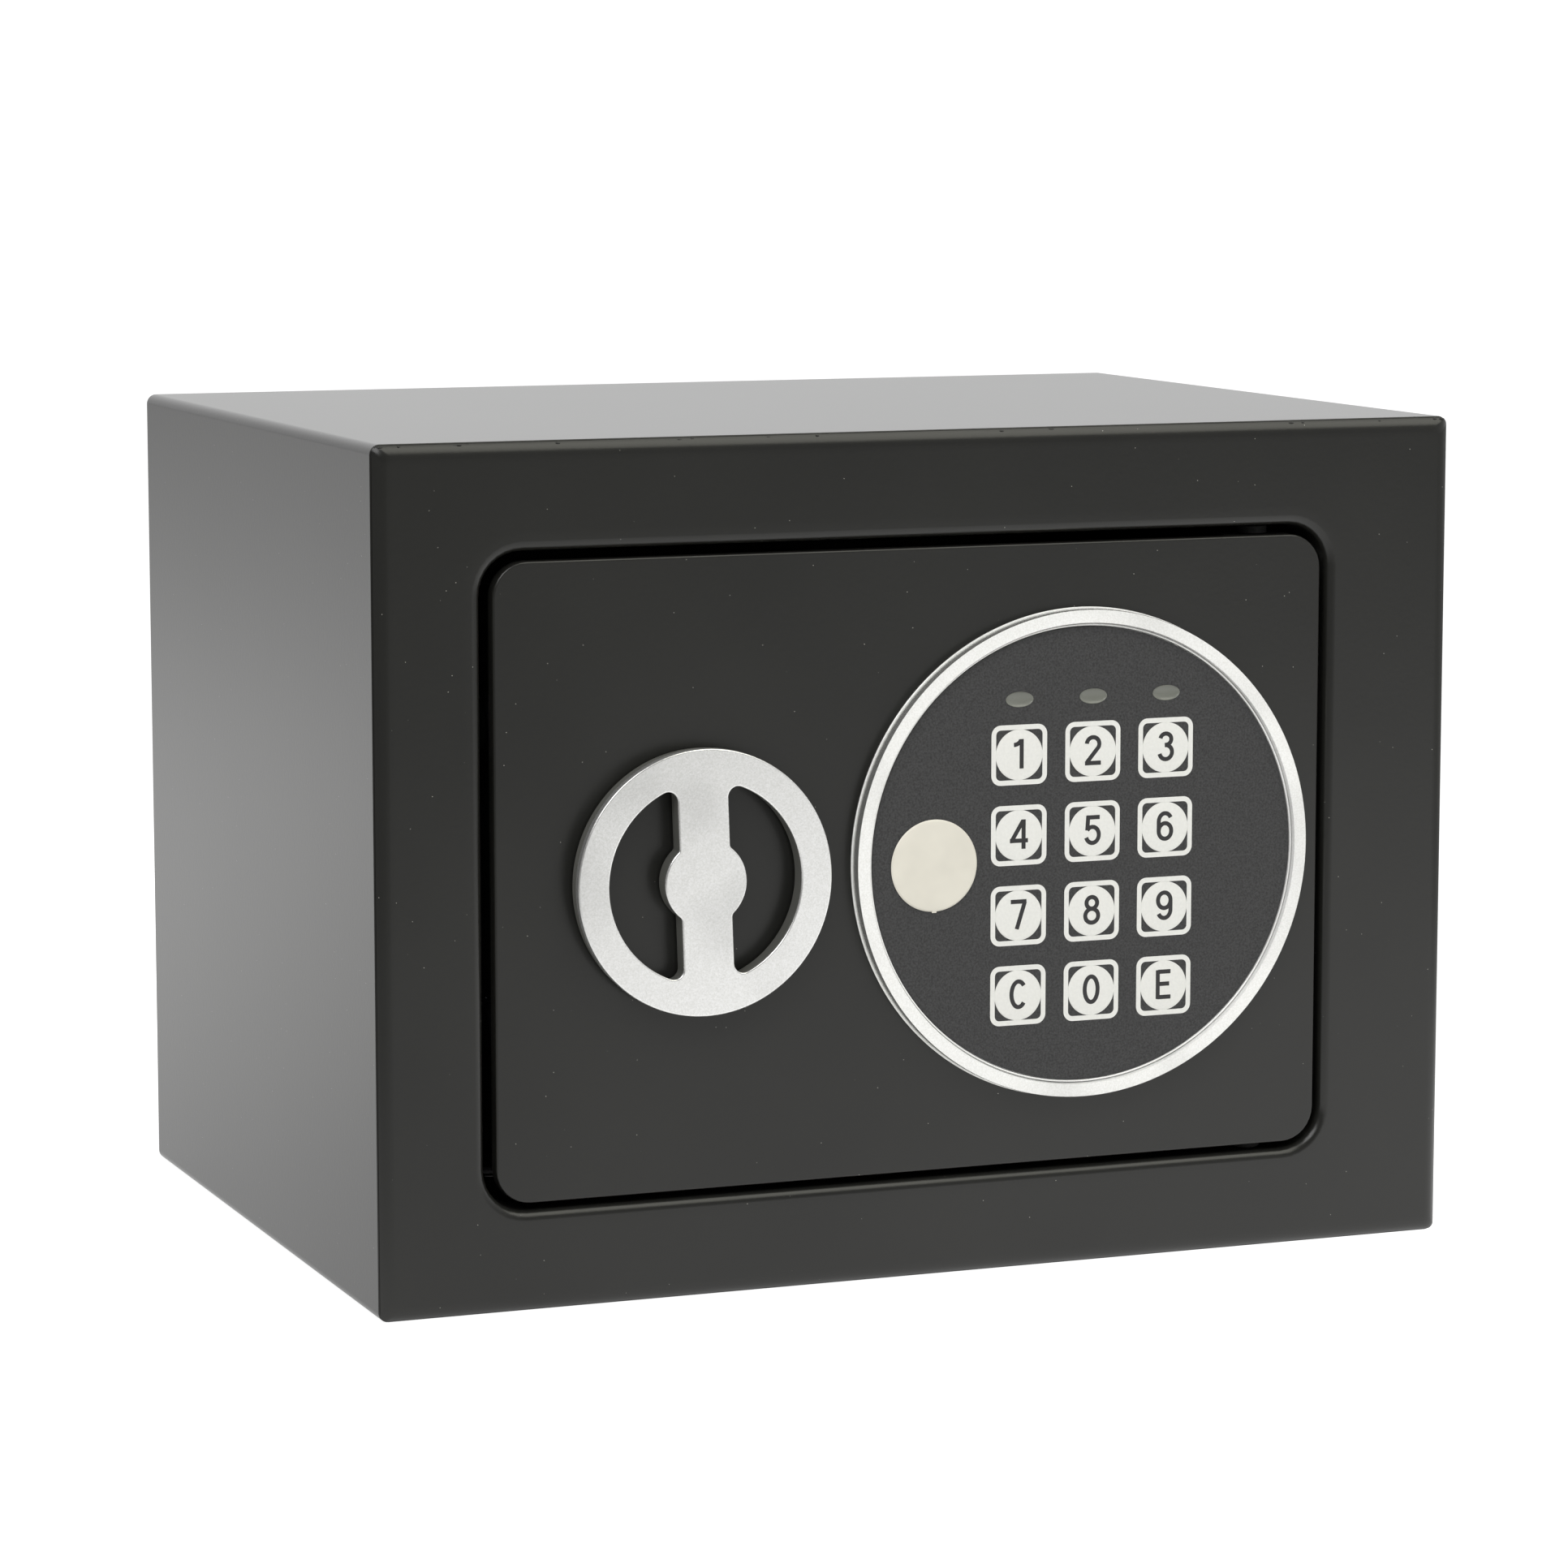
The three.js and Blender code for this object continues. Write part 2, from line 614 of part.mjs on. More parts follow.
function doorPlate() {
  const edge = roll(DOOR_EDGE, 0).outside;
  const plate = skin([
    { points: outline(doorEdge, DOOR_CORNER), y: doorBack },
    ...edge.map(([inset, y]) => ({
      points: outline(grow(doorEdge, -inset), DOOR_CORNER - inset),
      y: doorFront + y,
    })),
  ], false);
  const sunk = doorBack - DOOR_THICKNESS / 2;
  const postRadius = SCREW_RADIUS + POST_WALL;
  const screwEnd = coverBack + SEAM - SCREW_LENGTH;
  const posts = [
    ...coverPosts.map(({ x, z }) =>
      rod(postRadius, sunk, coverBack - COVER_SHEET - SEAM, SMALL_SIDES).translate(x, 0, z)),
    ...pcbPosts.map(({ x, z }) =>
      rod(PCB_POST_RADIUS, sunk, pcbFront - SEAM, SMALL_SIDES).translate(x, 0, z)),
  ];
  const through = (radius, x, z, sides) =>
    rod(radius, doorFront - OVERSHOOT, doorBack + OVERSHOOT, sides).translate(x, 0, z);
  const screwHoles = coverPosts.map(({ x, z }) =>
    rod(SCREW_RADIUS + SEAM, screwEnd - OVERSHOOT, coverBack, SMALL_SIDES).translate(x, 0, z));
  return cut(
    join(plate, ...posts),
    through(bushHoleRadius, KNOB_X, knobHeight, SIDES),
    through(LOCK_RADIUS + SEAM, lock.x, lock.z, SIDES),
    through(WIRE_HOLE_RADIUS, wireHole.x, wireHole.z, SMALL_SIDES),
    ...screwHoles,
  );
}

// One hinge lug: side is 1 at the top of the door and -1 at the bottom.
function hingeLug(side) {
  const face = side > 0 ? doorEdge.top - LUG_STEP : doorEdge.bottom + LUG_STEP;
  const other = face - side * LUG_THICKNESS;
  const z = [Math.min(face, other), Math.max(face, other)];
  const lug = join(
    block([hinge.x - LUG_WIDTH / 2, hinge.x + LUG_WIDTH / 2], [doorBack + SEAM, hinge.y], z),
    alongZ(rod(LUG_WIDTH / 2, z[0], z[1])).translate(hinge.x, hinge.y, 0),
  );
  const behindDoor = block(
    [hinge.x - LUG_WIDTH, hinge.x + LUG_WIDTH],
    [doorBack + SEAM, hinge.y + LUG_WIDTH],
    [z[0] - OVERSHOOT, z[1] + OVERSHOOT],
  );
  const bore = alongZ(rod(PIN_RADIUS + SEAM, z[0] - OVERSHOOT, z[1] + OVERSHOOT, SMALL_SIDES))
    .translate(hinge.x, hinge.y, 0);
  return cut(common(lug, behindDoor), bore);
}

// A pin with a collar that fills the gap between its lug and the frame's flange.
function hingePin(side) {
  const lugOutside = side > 0 ? doorEdge.top - LUG_STEP : doorEdge.bottom + LUG_STEP;
  const flange = side > 0 ? opening.top : opening.bottom;
  const gap = Math.abs(flange - lugOutside);
  const reach = gap + FRAME_SHEET + PIN_REACH;
  const pin = turned([
    [0, -LUG_THICKNESS - SEAM],
    [PIN_RADIUS, -LUG_THICKNESS - SEAM],
    [PIN_RADIUS, SEAM],
    [COLLAR_RADIUS, SEAM],
    [COLLAR_RADIUS, gap - RUNNING],
    [PIN_RADIUS, gap - RUNNING],
    [PIN_RADIUS, reach],
    [0, reach],
  ], SMALL_SIDES);
  const upright = alongZ(pin);
  if (side < 0) upright.rotateX(Math.PI);
  return upright.translate(hinge.x, hinge.y, lugOutside);
}

const door = addGroup(safe);
addPiece(door, 'door_plate', doorPlate(), charcoalPaint);
addPiece(door, 'hinge_lug_upper', hingeLug(1), charcoalPaint);
addPiece(door, 'hinge_lug_lower', hingeLug(-1), charcoalPaint);
addPiece(door, 'hinge_pin_upper', hingePin(1), charcoalPaint);
addPiece(door, 'hinge_pin_lower', hingePin(-1), charcoalPaint);

// Cover over the inside of the door

const button = { x: pcb.right - SWITCH_SIZE, z: (pcb.bottom + pcb.top) / 2 };

function innerCover() {
  const width = coverEdge.right - coverEdge.left;
  const height = coverEdge.top - coverEdge.bottom;
  const pan = tray(areaOf(width, height), COVER_CORNER, COVER_SHEET * 2, COVER_SHEET, COVER_DEPTH)
    .rotateZ(Math.PI)
    .translate((coverEdge.left + coverEdge.right) / 2, coverBack, (coverEdge.bottom + coverEdge.top) / 2);
  const boltHoles = [-1, 1].map((side) =>
    alongX(rod(BOLT_RADIUS + RUNNING, coverEdge.left - OVERSHOOT, coverEdge.left + 2 * OVERSHOOT))
      .translate(0, boltDepth, knobHeight + side * BOLT_SPACING / 2));
  const face = [coverBack - 2 * COVER_SHEET, coverBack + OVERSHOOT];
  const screwHoles = coverPosts.map(({ x, z }) =>
    rod(SCREW_RADIUS + RUNNING, ...face, SMALL_SIDES).translate(x, 0, z));
  const hatch = grow(holderOutside, RUNNING);
  return cut(
    pan,
    ...boltHoles,
    ...screwHoles,
    rod(BUTTON_RADIUS + RUNNING, ...face, SMALL_SIDES).translate(button.x, 0, button.z),
    block([hatch.left, hatch.right], face, [hatch.bottom, hatch.top])
      .translate(holder.x, 0, holder.z),
  );
}

function coverScrew() {
  const seat = coverBack + SEAM;
  const screw = turned([
    [0, seat - SCREW_LENGTH],
    [SCREW_RADIUS, seat - SCREW_LENGTH],
    [SCREW_RADIUS, seat],
    [SCREW_HEAD_RADIUS, seat],
    [SCREW_HEAD_RADIUS, seat + SCREW_HEAD_HEIGHT / 2],
    [SCREW_HEAD_RADIUS / 2, seat + SCREW_HEAD_HEIGHT],
    [0, seat + SCREW_HEAD_HEIGHT],
  ], SMALL_SIDES);
  const arm = [-CROSS_LENGTH / 2, CROSS_LENGTH / 2];
  const across = [-CROSS_WIDTH / 2, CROSS_WIDTH / 2];
  const depth = [seat + SCREW_HEAD_HEIGHT / 2, seat + SCREW_HEAD_HEIGHT + OVERSHOOT];
  return cut(screw, block(arm, depth, across), block(across, depth, arm));
}

addPiece(door, 'inner_cover', innerCover(), blackPaint);
const screwGeometry = coverScrew();
coverPosts.forEach(({ x, z }, i) =>
  addPiece(door, `cover_screw_${i + 1}`, screwGeometry, zincSteel, x, z));

// Keypad

const keypad = addGroup(door, PAD_X, padHeight);
const keyColumns = [-1, 0, 1].map((step) => keys.x + step * keyPitch.x);
const keyRows = KEY_NAMES.map((_, row) => keys.z + ((KEY_NAMES.length - 1) / 2 - row) * keyPitch.z);
const ledHeight = keyRows[0] + BEZEL_RADIUS * LED_STEP_SHARE;
const ledgeRadius = BEZEL_RADIUS - BEZEL_WIDTH - LEDGE_WIDTH;

function keypadBezel() {
  const inner = BEZEL_RADIUS - BEZEL_WIDTH;
  return turned([
    [ledgeRadius, doorFront - SEAM],
    [ledgeRadius, faceBack + FACE_FIT],
    [inner, faceBack + FACE_FIT],
    [inner, bezelFront],
    [BEZEL_RADIUS - BEZEL_EDGE, bezelFront],
    [BEZEL_RADIUS, bezelFront + BEZEL_EDGE],
    [BEZEL_RADIUS, doorFront - SEAM],
    [ledgeRadius, doorFront - SEAM],
  ], BEZEL_SIDES);
}

function ledWindow(clearance, from, to) {
  const radii = [LED_LENGTH / 2 + clearance, LED_WIDTH / 2 + clearance];
  const oval = new THREE.Shape();
  oval.absellipse(0, 0, ...radii, -Math.PI / 2, Math.PI / 2);
  oval.absellipse(0, 0, ...radii, Math.PI / 2, 1.5 * Math.PI);
  return slab(oval, from, to);
}

function keypadFace() {
  const through = [faceFront - OVERSHOOT, faceBack + OVERSHOOT];
  const keyHoles = keyRows.flatMap((z) => keyColumns.map((x) =>
    rod(KEY_RADIUS + RUNNING, ...through).translate(x, 0, z)));
  const ledHoles = keyColumns.map((x) =>
    ledWindow(FACE_FIT, ...through).translate(x, 0, ledHeight));
  const capHole = rod(CAP_STUB_RADIUS + RUNNING, ...through)
    .translate(LOCK_OFFSET_X, 0, LOCK_OFFSET_Z);
  const disc = rod(BEZEL_RADIUS - BEZEL_WIDTH - FACE_FIT, faceFront, faceBack, BEZEL_SIDES);
  return cut(disc, ...keyHoles, ...ledHoles, capHole);
}

function keyboard() {
  const disc = rod(
    ledgeRadius - RUNNING, keyboardFront, keyboardFront + BOARD_SHEET - SEAM, ROUND_SIDES);
  const left = LOCK_OFFSET_X + LOCK_HEAD_RADIUS + RUNNING;
  const depth = [keyboardFront - OVERSHOOT, doorFront + OVERSHOOT];
  return cut(disc, block([-BEZEL_RADIUS, left], depth, [-BEZEL_RADIUS, BEZEL_RADIUS]));
}

function ledLens() {
  const back = keyboardFront - LENS_FIT;
  const front = faceBack + LENS_FIT;
  const end = Math.sqrt(ledgeRadius ** 2 - (ledHeight + LED_WIDTH) ** 2) - LENS_CLEARANCE;
  const bar = block(
    [-end, end],
    [front, back],
    [ledHeight - LED_WIDTH, ledHeight + LED_WIDTH],
  );
  const windows = keyColumns.map((x) => ledWindow(0, faceFront, back).translate(x, 0, ledHeight));
  return join(bar, ...windows);
}

function keyDisc() {
  return rod(KEY_RADIUS, keyFront, faceBack);
}

addPiece(keypad, 'keypad_bezel', keypadBezel(), bezelPlastic);
addPiece(keypad, 'keypad_face', keypadFace(), keypadFilm);
addPiece(keypad, 'keypad_board', keyboard(), boardGreen);
addPiece(keypad, 'led_lens', ledLens(), lensPlastic);
const keyGeometry = keyDisc();
KEY_NAMES.forEach((names, row) => names.forEach((name, column) =>
  addPiece(keypad, `key_${name}`, keyGeometry, keyWhite, keyColumns[column], keyRows[row])));

// Emergency lock and its cover

const lockGroup = addGroup(door, lock.x, lock.z);
const lockFront = doorFront - SEAM - LOCK_HEAD_HEIGHT;
const lockBack = doorBack + LOCK_DEPTH;
const lockCamFront = lockBack + 2 * RUNNING;

function keyCover() {
  const stubEnd = lockFront - SEAM;
  return turned([
    [0, faceFront - CAP_PROUD],
    [CAP_RADIUS - CAP_PROUD / 2, faceFront - CAP_PROUD],
    [CAP_RADIUS, faceFront - CAP_PROUD / 2],
    [CAP_RADIUS, faceFront - SEAM],
    [CAP_STUB_RADIUS, faceFront - SEAM],
    [CAP_STUB_RADIUS, stubEnd],
    [0, stubEnd],
  ]);
}

function lockBody() {
  return turned([
    [PLUG_RADIUS + RUNNING, lockFront],
    [LOCK_HEAD_RADIUS, lockFront],
    [LOCK_HEAD_RADIUS, doorFront - SEAM],
    [LOCK_RADIUS, doorFront - SEAM],
    [LOCK_RADIUS, lockBack],
    [PLUG_RADIUS + RUNNING, lockBack],
    [PLUG_RADIUS + RUNNING, lockFront],
  ]);
}

function lockNut() {
  const nut = rod(LOCK_NUT_RADIUS, doorBack + SEAM, doorBack + LOCK_NUT_HEIGHT, 6);
  return cut(nut, rod(LOCK_RADIUS + SEAM, doorBack, doorBack + LOCK_NUT_HEIGHT + OVERSHOOT));
}

function lockPlug() {
  const tailEnd = lockCamFront + LOCK_CAM_SHEET + 2 * RUNNING;
  const plug = turned([
    [0, lockFront],
    [PLUG_RADIUS, lockFront],
    [PLUG_RADIUS, lockBack],
    [TAIL_RADIUS, lockBack],
    [TAIL_RADIUS, tailEnd],
    [0, tailEnd],
  ]);
  const keyway = block(
    [-KEYWAY_WIDTH / 2, KEYWAY_WIDTH / 2],
    [lockFront - OVERSHOOT, lockFront + KEYWAY_DEPTH],
    [-KEYWAY_HEIGHT / 2, KEYWAY_HEIGHT / 2],
  );
  return cut(plug, keyway);
}

function lockCam() {
  const angle = radians(LOCK_CAM_REST);
  const depth = [lockCamFront, lockCamFront + LOCK_CAM_SHEET];
  const tip = [LOCK_CAM_LENGTH * Math.cos(angle), LOCK_CAM_LENGTH * Math.sin(angle)];
  const arm = slab(slotShape(0, 0, ...tip, LOCK_CAM_RADIUS), ...depth);
  const bore = rod(TAIL_RADIUS + SEAM, depth[0] - OVERSHOOT, depth[1] + OVERSHOOT, SMALL_SIDES);
  return cut(join(arm, rod(LOCK_CAM_HUB, ...depth)), bore);
}

addPiece(lockGroup, 'key_cover', keyCover(), ivoryPlastic);
addPiece(lockGroup, 'lock_body', lockBody(), zincSteel);
addPiece(lockGroup, 'lock_nut', lockNut(), zincSteel);
addPiece(lockGroup, 'lock_plug', lockPlug(), lockBrass);
addPiece(lockGroup, 'lock_cam', lockCam(), zincSteel);

// Knob and the arm that it turns

const knob = addGroup(door, KNOB_X, knobHeight);

// One of the two finger windows, right of the spoke.
function knobWindowShape(ease) {
  const rim = KNOB_RADIUS - KNOB_RIM - ease;
  const side = KNOB_SPOKE / 2 + ease;
  const hub = KNOB_HUB_RADIUS + ease;
  const corner = KNOB_WINDOW_CORNER;
  const cornerX = side + corner;
  const cornerZ = Math.sqrt((rim - corner) ** 2 - cornerX ** 2);
  const turn = Math.atan2(cornerZ, cornerX);
  const hubTurn = Math.acos(side / hub);
  const shape = new THREE.Shape();
  shape.absarc(0, 0, rim, -turn, turn, false);
  shape.absarc(cornerX, cornerZ, corner, turn, Math.PI, false);
  shape.absarc(0, 0, hub, hubTurn, -hubTurn, true);
  shape.absarc(cornerX, -cornerZ, corner, Math.PI, 2 * Math.PI - turn, false);
  return shape;
}

function knobDisc(radius, from, to, ease, extras) {
  const window = () =>
    slab(knobWindowShape(ease), from - OVERSHOOT, to + OVERSHOOT).rotateY(radians(-KNOB_TILT));
  return cut(rod(radius, from, to, ROUND_SIDES), window(), window().rotateY(Math.PI), ...extras);
}

function knobShaft() {
  const neckEnd = carriageBack - RUNNING;
  return turned([
    [0, knobFaceBack + 2 * SEAM],
    [SHAFT_RADIUS, knobFaceBack + 2 * SEAM],
    [SHAFT_RADIUS, camFront - SEAM],
    [SHAFT_NECK_RADIUS, camFront - SEAM],
    [SHAFT_NECK_RADIUS, neckEnd],
    [0, neckEnd],
  ]);
}

function knobBush() {
  const inner = SHAFT_RADIUS + RUNNING;
  const outer = inner + BUSH_WALL;
  const flange = doorBack + SEAM;
  return turned([
    [inner, doorFront],
    [outer, doorFront],
    [outer, flange],
    [BUSH_FLANGE_RADIUS, flange],
    [BUSH_FLANGE_RADIUS, doorBack + BUSH_FLANGE],
    [inner, doorBack + BUSH_FLANGE],
    [inner, doorFront],
  ]);
}

function camArm() {
  const angle = radians(90 - CAM_SWING / 2);
  const tip = [camRadius * Math.cos(angle), camRadius * Math.sin(angle)];
  const arm = slab(slotShape(0, 0, ...tip, CAM_ARM_RADIUS), camFront, camBack);
  const pin = rod(CAM_PIN_RADIUS, camFront, carriageBack + OVERSHOOT, SMALL_SIDES)
    .translate(tip[0], 0, tip[1]);
  return cut(
    join(arm, pin),
    rod(SHAFT_NECK_RADIUS + SEAM, camFront - OVERSHOOT, camBack + OVERSHOOT),
  );
}

const knobShaftBore = rod(SHAFT_RADIUS + SEAM, knobFaceBack, knobBack + OVERSHOOT);
addPiece(knob, 'knob_face', knobDisc(KNOB_RADIUS, knobFront, knobFaceBack, 0, []), silverPlastic);
addPiece(
  knob,
  'knob_body',
  knobDisc(
    KNOB_RADIUS - KNOB_BODY_STEP, knobFaceBack + SEAM, knobBack, -KNOB_BODY_STEP, [knobShaftBore]),
  blackPlastic,
);
addPiece(knob, 'knob_shaft', knobShaft(), zincSteel);
addPiece(knob, 'knob_bush', knobBush(), nylon);
addPiece(knob, 'cam_arm', camArm(), zincSteel);
addPiece(
  knob,
  'shaft_clip',
  ring(CLIP_RADIUS, SHAFT_NECK_RADIUS + SEAM, camBack + SEAM, camBack + CLIP_SHEET, SMALL_SIDES),
  zincSteel,
);

// Bolt work: the carriage, drawn by the arm's pin, carries both bolts

const boltHeights = [1, -1].map((side) => side * BOLT_SPACING / 2);
const guideHeights = [1, -1].map((side) => side * GUIDE_OFFSET_Z);
const pinRest = {
  x: camRadius * Math.sin(radians(CAM_SWING / 2)),
  z: camRadius * Math.cos(radians(CAM_SWING / 2)),
};

function boltCarriage() {
  const reach = BOLT_SPACING / 2 + CARRIAGE_MARGIN;
  const slack = CLIP_RADIUS + 2 * RUNNING;
  const sheet = [carriageFront, carriageBack];
  const left = -CARRIAGE_SHOULDER;
  const right = slack + BOLT_TRAVEL + CARRIAGE_WEB;
  const end = latchEnd - KNOB_X;
  const through = [carriageFront - OVERSHOOT, carriageBack + OVERSHOOT];
  const flange = [carriageFront, boltDepth + BOLT_RADIUS];
  const tab = [carriageFront, carriageBack + LATCH_DEPTH];
  const stock = join(
    block([left, right], sheet, [-reach, reach]),
    block([left, left + CARRIAGE_SHEET], flange, [-reach, reach]),
    block([right - OVERSHOOT, end], sheet, [LATCH_TOP - LATCH_HEIGHT, LATCH_TOP]),
    block([end - LATCH_DEPTH - BOLT_TRAVEL / 2, end], tab, [LATCH_TOP - CARRIAGE_SHEET, LATCH_TOP]),
  );
  const pinSlot = CAM_PIN_RADIUS + RUNNING;
  const guideSlot = GUIDE_RADIUS + RUNNING;
  return cut(
    stock,
    block([-slack, slack + BOLT_TRAVEL], through, [-slack, slack]),
    slab(slotShape(pinRest.x, slack, pinRest.x, camRadius + RUNNING, pinSlot), ...through),
    ...guideHeights.map((z) =>
      slab(slotShape(GUIDE_OFFSET_X, z, GUIDE_OFFSET_X + BOLT_TRAVEL, z, guideSlot), ...through)),
    ...boltHeights.map((z) =>
      alongX(rod(BOLT_TAIL_RADIUS + SEAM, left - OVERSHOOT, left + 2 * CARRIAGE_SHEET, SMALL_SIDES))
        .translate(0, boltDepth, z)),
  );
}

function bolt() {
  const nose = boltTip - KNOB_X;
  const shoulder = -CARRIAGE_SHOULDER - SEAM;
  const tail = shoulder + CARRIAGE_SHEET + 3 * SEAM;
  return alongX(turned([
    [0, nose],
    [BOLT_RADIUS - BOLT_CHAMFER, nose],
    [BOLT_RADIUS, nose + BOLT_CHAMFER],
    [BOLT_RADIUS, shoulder],
    [BOLT_TAIL_RADIUS, shoulder],
    [BOLT_TAIL_RADIUS, tail],
    [0, tail],
  ])).translate(0, boltDepth, 0);
}

function guideStud() {
  const head = carriageBack + RUNNING;
  return turned([
    [0, doorBack + SEAM],
    [GUIDE_RADIUS, doorBack + SEAM],
    [GUIDE_RADIUS, head],
    [GUIDE_HEAD_RADIUS, head],
    [GUIDE_HEAD_RADIUS, head + CARRIAGE_SHEET],
    [0, head + CARRIAGE_SHEET],
  ], SMALL_SIDES);
}

const boltWork = addGroup(door, KNOB_X, knobHeight);
addPiece(boltWork, 'bolt_carriage', boltCarriage(), zincSteel);
addPiece(boltWork, 'bolt_upper', bolt(), zincSteel, 0, boltHeights[0]);
addPiece(boltWork, 'bolt_lower', bolt(), zincSteel, 0, boltHeights[1]);
addPiece(boltWork, 'carriage_guide_upper', guideStud(), zincSteel, GUIDE_OFFSET_X, guideHeights[0]);
addPiece(boltWork, 'carriage_guide_lower', guideStud(), zincSteel, GUIDE_OFFSET_X, guideHeights[1]);

// Solenoid: its plunger drops behind the carriage's latch when the bolts are thrown

const solenoid = addGroup(door, solenoidX, 0);

function solenoidFrame() {
  const half = SOLENOID_WIDTH / 2;
  const back = solenoidFront + SOLENOID_DEPTH;
  const top = solenoidZ + SOLENOID_LENGTH;
  const hole = alongZ(rod(PLUNGER_RADIUS + RUNNING, solenoidZ - OVERSHOOT, top + OVERSHOOT, SMALL_SIDES))
    .translate(0, plungerDepth, 0);
  return cut(
    block([-half, half], [solenoidFront, back], [solenoidZ, top]),
    block(
      [-half - OVERSHOOT, half + OVERSHOOT],
      [solenoidFront + SOLENOID_SHEET, back + OVERSHOOT],
      [solenoidZ + SOLENOID_SHEET, top - SOLENOID_SHEET],
    ),
    hole,
  );
}

function solenoidCoil() {
  const bottom = solenoidZ + SOLENOID_SHEET + SEAM;
  const top = solenoidZ + SOLENOID_LENGTH - SOLENOID_SHEET - SEAM;
  return alongZ(ring(COIL_RADIUS, PLUNGER_RADIUS + RUNNING, bottom, top))
    .translate(0, plungerDepth, 0);
}

function solenoidPlunger() {
  const collar = plungerTip + COLLAR_HEIGHT;
  const rodAndCollar = alongZ(turned([
    [0, plungerTip],
    [PLUNGER_RADIUS, plungerTip],
    [PLUNGER_RADIUS, collar],
    [SPRING_RADIUS + SPRING_WIRE, collar],
    [SPRING_RADIUS + SPRING_WIRE, collar + COLLAR_SHEET],
    [PLUNGER_RADIUS, collar + COLLAR_SHEET],
    [PLUNGER_RADIUS, plungerTip + PLUNGER_LENGTH],
    [0, plungerTip + PLUNGER_LENGTH],
  ])).translate(0, plungerDepth, 0);
  const peg = rod(PEG_RADIUS, plungerDepth, plungerDepth + PEG_REACH, SMALL_SIDES)
    .translate(0, 0, plungerTip + PEG_HEIGHT);
  return join(rodAndCollar, peg);
}

class Helix extends THREE.Curve {
  constructor(radius, turns, from, to) {
    super();
    Object.assign(this, { radius, turns, from, to });
  }

  getPoint(t, target = new THREE.Vector3()) {
    const angle = 2 * Math.PI * this.turns * t;
    return target.set(
      this.radius * Math.cos(angle),
      this.radius * Math.sin(angle),
      THREE.MathUtils.lerp(this.from, this.to, t),
    );
  }
}

function plungerSpring() {
  const stepsPerTurn = 8;
  const wireSides = 5;
  const from = plungerTip + COLLAR_HEIGHT + COLLAR_SHEET + SPRING_WIRE + SEAM;
  const to = solenoidZ - SPRING_WIRE - SEAM;
  const section = new THREE.Shape(Array.from({ length: wireSides }, (_, i) => {
    const angle = (i / wireSides) * 2 * Math.PI;
    return new THREE.Vector2(SPRING_WIRE * Math.cos(angle), SPRING_WIRE * Math.sin(angle));
  }));
  return new THREE.ExtrudeGeometry(section, {
    steps: SPRING_TURNS * stepsPerTurn,
    extrudePath: new Helix(SPRING_RADIUS, SPRING_TURNS, from, to),
  }).translate(0, plungerDepth, 0);
}

addPiece(solenoid, 'solenoid_frame', solenoidFrame(), zincSteel);
addPiece(solenoid, 'solenoid_coil', solenoidCoil(), coilCopper);
addPiece(solenoid, 'solenoid_plunger', solenoidPlunger(), zincSteel);
addPiece(solenoid, 'plunger_spring', plungerSpring(), zincSteel);

// Main circuit board with its buzzer and reset button

function circuitBoard() {
  return block([pcb.left, pcb.right], [pcbFront, pcbBack], [pcb.bottom, pcb.top]);
}

function resetSwitch() {
  const half = SWITCH_SIZE / 2;
  const top = pcbBack + SWITCH_HEIGHT;
  const well = rod(
    BUTTON_STEM_RADIUS + RUNNING, top - BUTTON_STEM_LENGTH - BUTTON_TRAVEL, top + OVERSHOOT, SMALL_SIDES);
  return cut(block([-half, half], [pcbBack + SEAM, top], [-half, half]), well);
}

function resetButton() {
  const seat = pcbBack + SWITCH_HEIGHT + BUTTON_TRAVEL + SEAM;
  const end = coverBack + BUTTON_PROUD;
  return turned([
    [0, seat - BUTTON_STEM_LENGTH],
    [BUTTON_STEM_RADIUS, seat - BUTTON_STEM_LENGTH],
    [BUTTON_STEM_RADIUS, seat],
    [BUTTON_RADIUS, seat],
    [BUTTON_RADIUS, end - BUTTON_PROUD / 2],
    [BUTTON_RADIUS - BUTTON_PROUD / 2, end],
    [0, end],
  ], SMALL_SIDES);
}

addPiece(door, 'circuit_board', circuitBoard(), boardGreen);
addPiece(
  door,
  'buzzer',
  rod(BUZZER_RADIUS, pcbBack + SEAM, pcbBack + BUZZER_HEIGHT),
  blackPlastic,
  pcb.left + BUZZER_INSET,
  button.z,
);
addPiece(door, 'reset_switch', resetSwitch(), blackPlastic, button.x, button.z);
addPiece(door, 'reset_button', resetButton(), redPlastic, button.x, button.z);

// Battery box: an open holder with rails, four cells and a sliding lid

const batteryBox = addGroup(door, holder.x, holder.z);
const holderBack = coverBack + SEAM;
const rimBack = holderBack + HOLDER_RIM_SHEET;
const lidBack = rimBack + RUNNING + LID_SHEET;
const holderFront = coverBack - COVER_SHEET - 2 * BATTERY_RADIUS - HOLDER_WALL - 2 * SEAM;
const railBack = lidBack + RUNNING + RAIL_WALL;
const tabPlaces = Array.from({ length: TAB_COUNT }, (_, i) =>
  rimArea.left + TAB_INSET + i * TAB_PITCH);

// Bars along both long edges of the rim, between two places in X, as deep in from it as reach.
function edgeBars(x, y, reach) {
  return [
    block(x, y, [rimArea.top - reach, rimArea.top]),
    block(x, y, [rimArea.bottom, rimArea.bottom + reach]),
  ];
}

